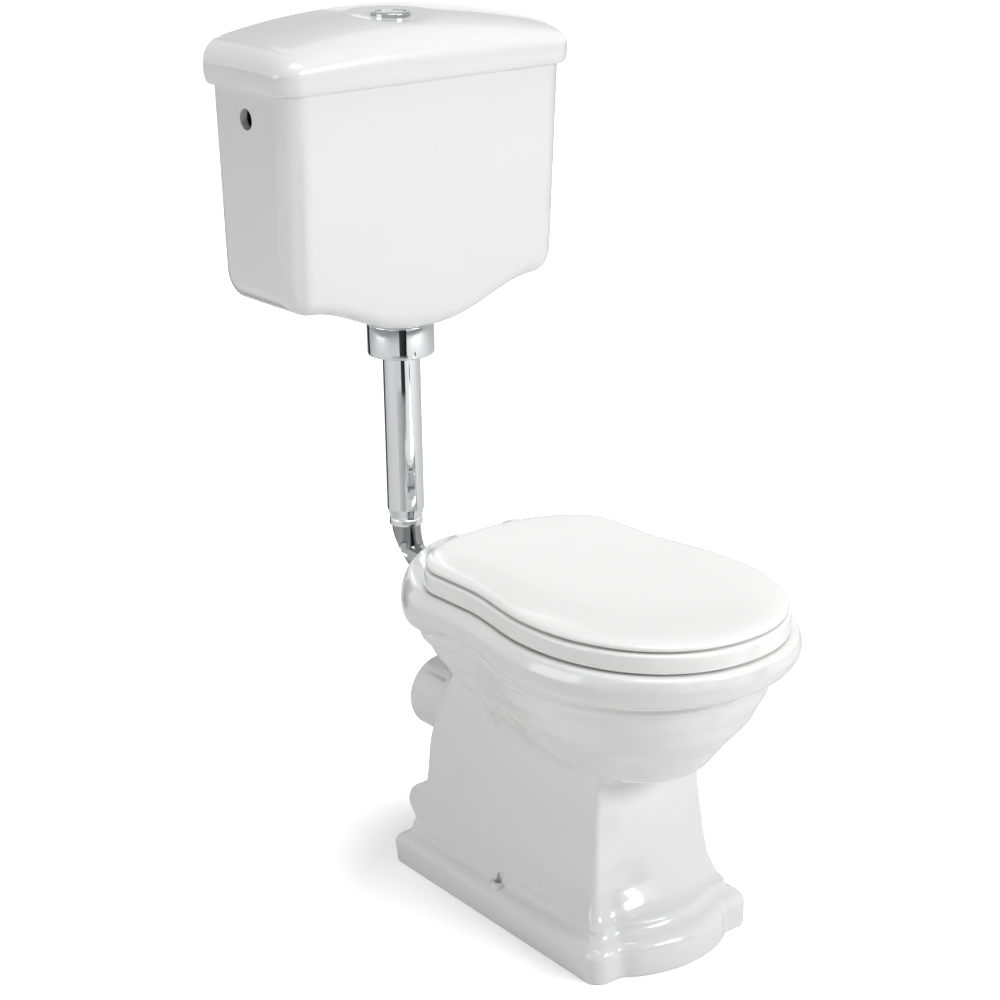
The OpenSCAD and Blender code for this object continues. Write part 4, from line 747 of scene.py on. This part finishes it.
cistern = tank_solid("cistern_glazed", 0, TANK.top)
combine(cistern, [tank_solid("cistern_inside", TANK.wall, TANK.top + 1)], "DIFFERENCE")
combine(cistern, [rod("outlet_boss", 38, 703, 728, ON_AXIS, steps=96)], "UNION")
cistern_cuts = [rod("outlet_hole", 26, 702, 729, ON_AXIS, steps=96)]
for s in (-1, 1):
    cistern_cuts += [rod("side_hole", SIDE_HOLE.radius, s * 205 - 20, s * 205 + 20,
                         (0, PIPE_Y + SIDE_HOLE.back, SIDE_HOLE.z), "X"),
                     rod("wall_hole", 6, 376, 388, (s * 140, 0, 950), "Y")]
combine(cistern, cistern_cuts, "DIFFERENCE")
smooth(cistern)
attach(cistern, "pan_and_cistern")
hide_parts("cistern_tank")
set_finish(cistern, "china")
print("cistern:", len(cistern.data.vertices), "points")

# %% [markdown]
# The lid overhangs the cistern by a finger's width. Its front edge is level while its back is
# arched, so the top swells from the one to the other and rolls over into the skirt. A
# superellipse from edge to crown gives that roll without a seam. A faint valley runs along each
# end, and a shallow dish lets the button sit a little lower.

# %% Lid
LID = Sizes(half=226.0, front=95.5, back=92.0, top=1028.0, rise=77.0, arch=22.0, belt=24.0,
            run=145.0, end=26.0, corner=32.0, back_corner=8.0, roll=2.6)
LID_FOOT = [(0, 4.5), (1.2, 3.2), (3, 2.2), (6, 1.35), (10, 0.7), (14, 0.3), (18, 0.08)]
BEZEL_R, NUT_PAD = 25.0, 8
CROWN = LID.top + LID.rise
GROUND = CROWN - 7  # the level that the bezel sits on
VALLEY = Sizes(x=201, width=4.5, depth=1.6)
DISH = Sizes(radius=62, slope=34, depth=3.2)


def lid_section(x, wall):
    """Section of the lid at x: skirt, belt, the roll of the front and the arched top."""
    t = LID
    half, ax = t.half - wall, abs(x)
    y0 = drawn_in(ax, half, t.corner - wall) + wall - t.front
    y1 = t.back - wall - drawn_in(ax, half, max(4, t.back_corner - wall))
    u = np.clip((ax - t.half + t.end) / t.end, 0, 1)
    end_top = t.rise - t.arch * (t.half / (t.half - 15)) ** 2
    fall = (end_top - t.belt - 1) * (1 - np.sqrt(1 - u * u * 0.999))
    belt = t.top + t.belt - wall / 2
    rise = t.top + t.rise - t.arch * (x / (t.half - 15)) ** 2 - fall - wall - belt
    run, r = min(t.run, y1 - y0 - 12), min(8, rise * 0.8)
    a, p = quarter_turn(41), 2 / t.roll
    roll = np.stack([y0 + run * (1 - np.cos(a) ** p), belt + rise * np.sin(a) ** p], -1)
    b = quarter_turn(9)
    back = np.stack([y1 - r * (1 - np.cos(b)), belt + rise - r + r * np.sin(b)], -1)
    y_mid = np.linspace(y1 - r, y0 + run, 14)[1:-1]
    z, inset = np.array([(-1, 0)] if wall else LID_FOOT).T
    skirt = np.stack([x * (1 - inset / t.half), y1 - inset, t.top + z], -1)
    apron = np.stack([x * (1 - inset / t.half), y0 + inset, t.top + z], -1)[::-1]
    yz = np.concatenate([back, np.stack([y_mid, np.full(12, belt + rise)], -1), roll[::-1]])
    ring = np.concatenate([skirt, np.column_stack([np.full(len(yz), x), yz]), apron])
    return ring + ON_AXIS


def lid_solid(name, wall):
    xs = stations(LID.half - wall, LID.corner - wall, 40, 24)
    return loft(name, [lid_section(x, wall) for x in xs])


def mouth_ring(z, inset):
    """Outline of the cistern's mouth at a height, drawn in by the inset."""
    h, f, r, b, c = TANK.half - inset - 3, TANK.front - inset, 16, TANK.back - inset, 8
    a = quarter_turn(9)
    right = np.stack([h - r + r * np.sin(a), -f + r - r * np.cos(a)], -1)
    rear = [(h, b - c), (h - c, b), (c - h, b), (-h, b - c)]
    ring = np.concatenate([right, rear, right[::-1] * (-1, 1)])
    return np.column_stack([ring[:, 0], ring[:, 1] + PIPE_Y, np.full(len(ring), z)])


lid = lid_solid("cistern_lid_glazed", 0)
spots = np.array([v.co for v in lid.data.vertices])
x, y, z = spots.T / MM
inward = ease((y - (PIPE_Y - LID.front + 6)) / 30) * ease((z - 1062) / 10)
valley = VALLEY.depth * np.exp(-((np.abs(x) - VALLEY.x) / VALLEY.width) ** 2) * inward
dish = DISH.depth * ease((DISH.radius - np.hypot(x, y - PIPE_Y)) / DISH.slope) * (z > 1080)
spots[:, 2] -= (valley + dish) * MM
lid.data.vertices.foreach_set("co", spots.ravel())
combine(lid, [lid_solid("lid_inside", 15)], "DIFFERENCE")
added = []
for name, low, inset in (("lid_lip", 1020, 11.5), ("lid_ledge", 1028, 3)):
    band = loft(name, [mouth_ring(low, inset), mouth_ring(1038, inset)])
    opening = loft(name + "_inside", [mouth_ring(low - 1, 16.5), mouth_ring(1039, 16.5)])
    added.append(combine(band, [opening], "DIFFERENCE"))
added.append(rod("nut_pad", BEZEL_R + NUT_PAD, GROUND - 18, GROUND - 1, ON_AXIS, steps=96))
combine(lid, added, "UNION")
hole = rod("button_hole", 23, 1038, CROWN + 1, ON_AXIS, steps=96)
ground = rod("button_ground", BEZEL_R + 0.6, GROUND, CROWN + 10, ON_AXIS, steps=128)
combine(lid, [hole, ground], "DIFFERENCE")
smooth(lid)
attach(lid, "lid")
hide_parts("cistern_lid")
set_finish(lid, "china")
print("lid:", len(lid.data.vertices), "points, crown at", CROWN)

# %% [markdown]
# Plated pieces show every facet in their reflections, so the pipe, collar, bezel and button are
# turned again with many more steps and small rounded edges where light can catch.

# %% Flush button
BEZEL_TOP = GROUND + 6
BUTTON_TOP = BEZEL_TOP - 0.5
bezel = turned("button_bezel_plated",
               [(20.05, BUTTON_TOP - 15), (20.05, BEZEL_TOP - 1.2)]
               + arc(20.85, BEZEL_TOP - 0.8, 0.8, 180, 90, 5) + arc(23, BEZEL_TOP - 2, 2, 90, 0, 8)
               + [(BEZEL_R, GROUND + 0.6)] + arc(BEZEL_R - 0.6, GROUND + 0.6, 0.6, 0, -90, 4)
               + [(22.5, GROUND), (22.5, GROUND - 30), (16, GROUND - 30), (16, BUTTON_TOP - 18),
                  (4.05, BUTTON_TOP - 18), (4.05, BUTTON_TOP - 15)], ON_AXIS, steps=160)
button = turned("push_button_plated",
                [(1e-3, BUTTON_TOP - 8), (20, BUTTON_TOP - 8), (20, BUTTON_TOP - 1.5)]
                + arc(18.5, BUTTON_TOP - 1.5, 1.5, 0, 90, 7)
                + [(14, BUTTON_TOP + 0.15), (8, BUTTON_TOP + 0.3), (1e-3, BUTTON_TOP + 0.4)],
                ON_AXIS, steps=160)
for obj, body, node in ((bezel, "lid", "button_bezel"), (button, "button", "push_button")):
    smooth(obj)
    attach(obj, body)
    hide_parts(node)
    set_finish(obj, "chrome")
print("button top", BUTTON_TOP, "mm, bezel", 2 * BEZEL_R, "mm across")

# %% Collar and upper pipe
COLLAR_Z, COLLAR_TOP, PIPE_TOP, PIPE_LOW = 660.0, 702.7, 679.0, 422.0
collar = turned("pipe_collar_plated",
                [(25.05, COLLAR_Z)] + arc(41.3, COLLAR_Z + 3.2, 3.2, -90, 0, 9)
                + arc(43.5, COLLAR_TOP - 1, 1, 0, 90, 5)
                + [(38.5, COLLAR_TOP), (38.5, COLLAR_Z + 5), (25.05, COLLAR_Z + 5)],
                ON_AXIS, steps=192)
upper = turned("pipe_upper_plated",
               [(23.5, PIPE_TOP), (25, PIPE_TOP), (25, PIPE_LOW + 24)]
               + arc(23, PIPE_LOW + 24, 2, 0, -25, 4)
               + [(22.2, PIPE_LOW + 13.5), (21.5, PIPE_LOW + 11.5), (21.5, PIPE_LOW + 10.3)]
               + arc(21.5, PIPE_LOW + 9, 1, 70, 0, 4) + arc(21.5, PIPE_LOW + 1.6, 1, 0, -80, 5)
               + [(19.55, PIPE_LOW), (19.55, PIPE_LOW + 13), (23.5, PIPE_LOW + 24)],
               ON_AXIS, steps=192)
for obj, node in ((collar, "pipe_collar"), (upper, "pipe_upper")):
    smooth(obj)
    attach(obj, "pan_and_cistern")
    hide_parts(node)
    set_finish(obj, "chrome")
print("collar", round(COLLAR_TOP - COLLAR_Z, 1), "mm high")

# %% Lower bend
BEND_R = PIPE_LOW - INLET_Z
BEND_START, BEND_END = PIPE_LOW + 10, 124


def bend_tube(name, r, spare):
    """Tube down from the upper pipe, round a quarter turn and forward into the pan."""
    turn = full_turn(96)
    line = [(BEND_R * (1 - np.cos(a)), PIPE_LOW - BEND_R * np.sin(a), a)
            for a in quarter_turn(33)]
    line = [(0, BEND_START + spare, 0)] + line + [(BEND_END + spare, INLET_Z, np.pi / 2)]
    return loft(name, [np.stack([r * np.cos(turn), at_d(d) + r * np.sin(turn) * np.cos(a),
                                 z + r * np.sin(turn) * np.sin(a)], -1) for d, z, a in line])


bend = bend_tube("pipe_bend_plated", 19.5, 0)
combine(bend, [bend_tube("bend_bore", 18, 1)], "DIFFERENCE")
smooth(bend)
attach(bend, "pan_and_cistern")
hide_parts("pipe_bend")
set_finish(bend, "chrome")
print("bend radius", BEND_R, "mm")

# %% [markdown]
# A material is more than a colour. Glaze is a clear coat over white clay, so it has a sharp
# reflection on a soft body and a faint waviness from the firing. Plating mirrors its
# surroundings, moulded plastic has a fine grain, and rubber is dull. Values that are the same all
# over go on the shader's own sockets, and only the roughness and the bump come from noise.

# %% Material helper
IOR, COAT_ROUGHNESS, MOTTLING_SCALE = 1.5, 0.03, 9


def new_material(name):
    mat = bpy.data.materials.new(name)
    mat.use_nodes = True
    return mat, mat.node_tree.nodes, mat.node_tree.links


def preset(node, values):
    """Sets a node's sockets by their names."""
    for socket, value in values.items():
        node.inputs[socket].default_value = value


def noise_of(nodes, links, place, scale, detail=2):
    """Noise texture in the piece's own space."""
    noise = nodes.new("ShaderNodeTexNoise")
    preset(noise, {"Scale": scale, "Detail": detail})
    links.new(place.outputs["Object"], noise.inputs["Vector"])
    return noise.outputs["Fac"]


def finish_of(name, color, roughness, metallic=0.0, coat=0.0, grain=(), mottling=0.0,
              smear=(40.0, 0.0)):
    """Procedural finish; grain is rows of (scale, height) in metres, smear varies the roughness."""
    mat, nodes, links = new_material(name)
    shader = nodes["Principled BSDF"]
    preset(shader, {"Base Color": (*color, 1), "Metallic": metallic, "Roughness": roughness,
                    "IOR": IOR, "Coat Weight": coat, "Coat Roughness": COAT_ROUGHNESS})
    place = nodes.new("ShaderNodeTexCoord")
    if smear[1]:
        spread = nodes.new("ShaderNodeMapRange")
        preset(spread, {"To Min": max(0.0, roughness - smear[1]), "To Max": roughness + smear[1]})
        links.new(noise_of(nodes, links, place, smear[0], 4), spread.inputs["Value"])
        links.new(spread.outputs["Result"], shader.inputs["Roughness"])
    if mottling:
        ramp = nodes.new("ShaderNodeMix")
        ramp.data_type = "RGBA"
        preset(ramp, {"A": (*[c * (1 - mottling) for c in color], 1),
                      "B": (*[min(1, c * (1 + mottling)) for c in color], 1)})
        links.new(noise_of(nodes, links, place, MOTTLING_SCALE), ramp.inputs["Factor"])
        links.new(ramp.outputs["Result"], shader.inputs["Base Color"])
    normal = None
    for scale, height in grain:
        bump = nodes.new("ShaderNodeBump")
        preset(bump, {"Strength": 1, "Distance": height})
        links.new(noise_of(nodes, links, place, scale, 3), bump.inputs["Height"])
        if normal:
            links.new(normal.outputs["Normal"], bump.inputs["Normal"])
        normal = bump
    if normal:
        links.new(normal.outputs["Normal"], shader.inputs["Normal"])
    return mat


print("material helper ready")

# %% The finishes
FINISH = {
    "china": finish_of("glazed_china", (0.83, 0.835, 0.83), 0.16, coat=0.6,
                       grain=[(22, 0.00022), (160, 0.000012)], mottling=0.008, smear=(30, 0.03)),
    "seat_white": finish_of("gloss_seat", (0.92, 0.92, 0.915), 0.2, coat=0.35,
                            grain=[(45, 0.00008), (900, 0.000004)], smear=(55, 0.03)),
    "chrome": finish_of("polished_plating", (0.80, 0.81, 0.82), 0.05, metallic=1.0,
                        grain=[(35, 0.00005)], smear=(60, 0.03)),
    # painted dark reflection: the same plating with a darker base colour, for the bezel, button and
    # bend
    "painted_reflection_chrome": finish_of("painted_reflection_plating", (0.36, 0.365, 0.37), 0.06, metallic=1.0,
                               grain=[(35, 0.00005)], smear=(60, 0.03)),
    "brass": finish_of("turned_brass", (0.72, 0.52, 0.24), 0.28, metallic=1.0,
                       grain=[(700, 0.00001)], mottling=0.06, smear=(90, 0.08)),
    "buffer_rubber": finish_of("black_rubber", (0.022, 0.022, 0.024), 0.62,
                               grain=[(900, 0.00002)], smear=(120, 0.08)),
    "grey_plastic": finish_of("grey_moulding", (0.48, 0.50, 0.53), 0.38,
                              grain=[(1100, 0.000012)], smear=(80, 0.06)),
    "blue_plastic": finish_of("blue_moulding", (0.075, 0.20, 0.46), 0.36,
                              grain=[(1100, 0.000012)], smear=(80, 0.06)),
}
print("finishes:", sorted(FINISH))

# %% [markdown]
# Every piece made here names its slot of the record, and each solid that stays visible has one
# too. One loop dresses both from the same table, so a finish changes in one place. The bezel,
# button and bend get a painted dark reflection: the same plating with a darker base colour, in
# place of the dark surroundings that they mirror.

# %% Dress the pieces and the solids
SLOT_OF = {row["node"]: row["material_slot"] for row in frame["record"]["subparts"]}
# pieces that get the painted dark reflection instead of the plain plating
PAINTED_REFLECTION_PIECES = ("button_bezel_plated", "push_button_plated", "pipe_bend_plated")
dressed = 0
for obj in list(bpy.data.objects):
    if obj.type != "MESH":
        continue
    slot = obj.get("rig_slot") or SLOT_OF.get(obj.get("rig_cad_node"))
    if not slot:
        continue
    finish = FINISH["painted_reflection_chrome" if obj.name in PAINTED_REFLECTION_PIECES else slot]
    if not obj.data.materials:
        obj.data.materials.append(finish)
    for place in obj.material_slots:
        place.material = finish
    dressed += 1
print("dressed", dressed, "pieces")

# %% [markdown]
# The studio is a pale floor, an even world and large soft lamps. To the camera and in reflections
# the world is plain white, as in the photograph. What lights the china is a much dimmer grey of the
# same world, so that its shaded side keeps its form, and three broad lamps: in front, at the left
# and high above. The paper glows a little, less so near the toilet, where its shadow has to show.

# %% Floor
FAR, FLOOR_Z = 9000, -0.2
corners = [(x * FAR, y * FAR, FLOOR_Z) for x, y in ((-1, -1), (1, -1), (1, 1), (-1, 1))]
floor = new_object("studio_floor", corners, [(0, 1, 2, 3)])
paper, nodes, links = new_material("studio_paper")
shader = nodes["Principled BSDF"]
preset(shader, {"Base Color": (0.84, 0.84, 0.84, 1), "Roughness": 0.9, "Specular IOR Level": 0})
glow, near_far = nodes.new("ShaderNodeEmission"), nodes.new("ShaderNodeMapRange")
preset(near_far, {"From Min": 0.25, "From Max": 0.46, "To Min": 0.40, "To Max": 0.94})
place, away = nodes.new("ShaderNodeTexCoord"), nodes.new("ShaderNodeVectorMath")
away.operation = "LENGTH"
links.new(place.outputs["Object"], away.inputs[0])
links.new(away.outputs["Value"], near_far.inputs["Value"])
links.new(near_far.outputs["Result"], glow.inputs["Strength"])
add, blend = nodes.new("ShaderNodeAddShader"), nodes.new("ShaderNodeMixShader")
ray = nodes.new("ShaderNodeLightPath")
links.new(shader.outputs["BSDF"], add.inputs[0])
links.new(glow.outputs["Emission"], add.inputs[1])
links.new(ray.outputs["Is Camera Ray"], blend.inputs["Fac"])
links.new(shader.outputs["BSDF"], blend.inputs[1])
links.new(add.outputs["Shader"], blend.inputs[2])
links.new(blend.outputs["Shader"], nodes["Material Output"].inputs["Surface"])
floor.data.materials.append(paper)
print("floor", floor.name)

# %% World
world = bpy.data.worlds.new("studio_world")
bpy.context.scene.world = world
world.use_nodes = True
nodes, links = world.node_tree.nodes, world.node_tree.links
lit, seen = nodes["Background"], nodes.new("ShaderNodeBackground")
for light, strength in ((lit, 0.20), (seen, 1.0)):
    preset(light, {"Color": (1, 1, 1, 1), "Strength": strength})
ray = nodes.new("ShaderNodeLightPath")
mixer = nodes.new("ShaderNodeMixShader")
white = ray.outputs["Is Camera Ray"]
for kind in ("Is Glossy Ray", "Is Transmission Ray"):
    step = nodes.new("ShaderNodeMath")
    step.operation, step.use_clamp = "ADD", True
    links.new(white, step.inputs[0])
    links.new(ray.outputs[kind], step.inputs[1])
    white = step.outputs[0]
links.new(white, mixer.inputs["Fac"])
links.new(lit.outputs["Background"], mixer.inputs[1])
links.new(seen.outputs["Background"], mixer.inputs[2])
links.new(mixer.outputs["Shader"], nodes["World Output"].inputs["Surface"])
print("world light", round(lit.inputs["Strength"].default_value, 2))

# %% Lamps
LAMP_AIM = (0, 0.1, 0.5)
LAMPS = [  # name, place, size of the panel, watts
    ("key_front", (1.6, -4.2, 2.6), (2.2, 1.6), 140),
    ("side_left", (-4.0, 1.5, 1.6), (2.5, 2.5), 48),
    ("top_far", (0.3, -0.8, 8.0), (4.0, 4.0), 258)]
for name, at, size, power in LAMPS:
    data = bpy.data.lights.new(name, "AREA")
    data.shape, data.size, data.size_y, data.energy = "RECTANGLE", *size, power
    obj = bpy.data.objects.new(name, data)
    bpy.context.scene.collection.objects.link(obj)
    obj.location = at
    obj.rotation_euler = (Vector(LAMP_AIM) - Vector(at)).to_track_quat("-Z", "Y").to_euler()
print("lamps:", [row[0] for row in LAMPS])

# %% [markdown]
# Bright plating in an all-white studio looks like grey paint. Photographers stand dark cards round
# it, and their reflections draw the bands that make it read as metal. These cards stand on arcs
# round the pipe and only mirror rays see them, so they draw faint reflections in the glaze but
# cast no shadow on it.

# %% Cards for the plating
CARD_POINTS = 17
CARDS = [  # name, degrees from the camera's side, distance from the pipe, heights, glow along it
    ("card_line", (-50, -45), 850, (-20, 420), (0.02, 0.06)),
    ("card_soft", (-44, 34), 1050, (-20, 318), (0.10, 0.62)),
    ("card_collar", (-19, 5), 1000, (322, 700), (0.01, 0.05)),
    ("card_edge", (128, 150), 900, (-20, 700), (0.03, 0.03)),
    ("card_lid", (146, 214), 2000, (1450, 2700), (0.45, 0.6))]
facing = np.arctan2(CAMERA_AT[1] - PIPE_Y * MM, CAMERA_AT[0])
for name, turns, away, heights, glow in CARDS:
    a = facing - np.radians(np.linspace(*turns, CARD_POINTS))
    foot = np.stack([np.cos(a), np.sin(a)], -1) * away + (0, PIPE_Y)
    points = [(x, y, z) for z in heights for x, y in foot]
    obj = new_object(name, points, [(i, i + 1, i + 1 + CARD_POINTS, i + CARD_POINTS)
                                    for i in range(CARD_POINTS - 1)])
    shade = obj.data.color_attributes.new("glow", "FLOAT_COLOR", "POINT")
    levels = np.tile(np.linspace(*glow, CARD_POINTS), 2)
    colors = np.column_stack([levels, levels, levels, np.ones_like(levels)])
    shade.data.foreach_set("color", colors.ravel())
    mat, nodes, links = new_material(name)
    read, light = nodes.new("ShaderNodeAttribute"), nodes.new("ShaderNodeEmission")
    read.attribute_name = "glow"
    links.new(read.outputs["Color"], light.inputs["Color"])
    links.new(light.outputs["Emission"], nodes["Material Output"].inputs["Surface"])
    obj.data.materials.append(mat)
    for ray in ("camera", "diffuse", "transmission", "volume_scatter", "shadow"):
        setattr(obj, "visible_" + ray, False)
print("cards:", len(CARDS))

# %% [markdown]
# The view transform is Standard, so that a white in the scene is a white in the picture.

# %% Colour management
bpy.context.scene.view_settings.view_transform = "Standard"
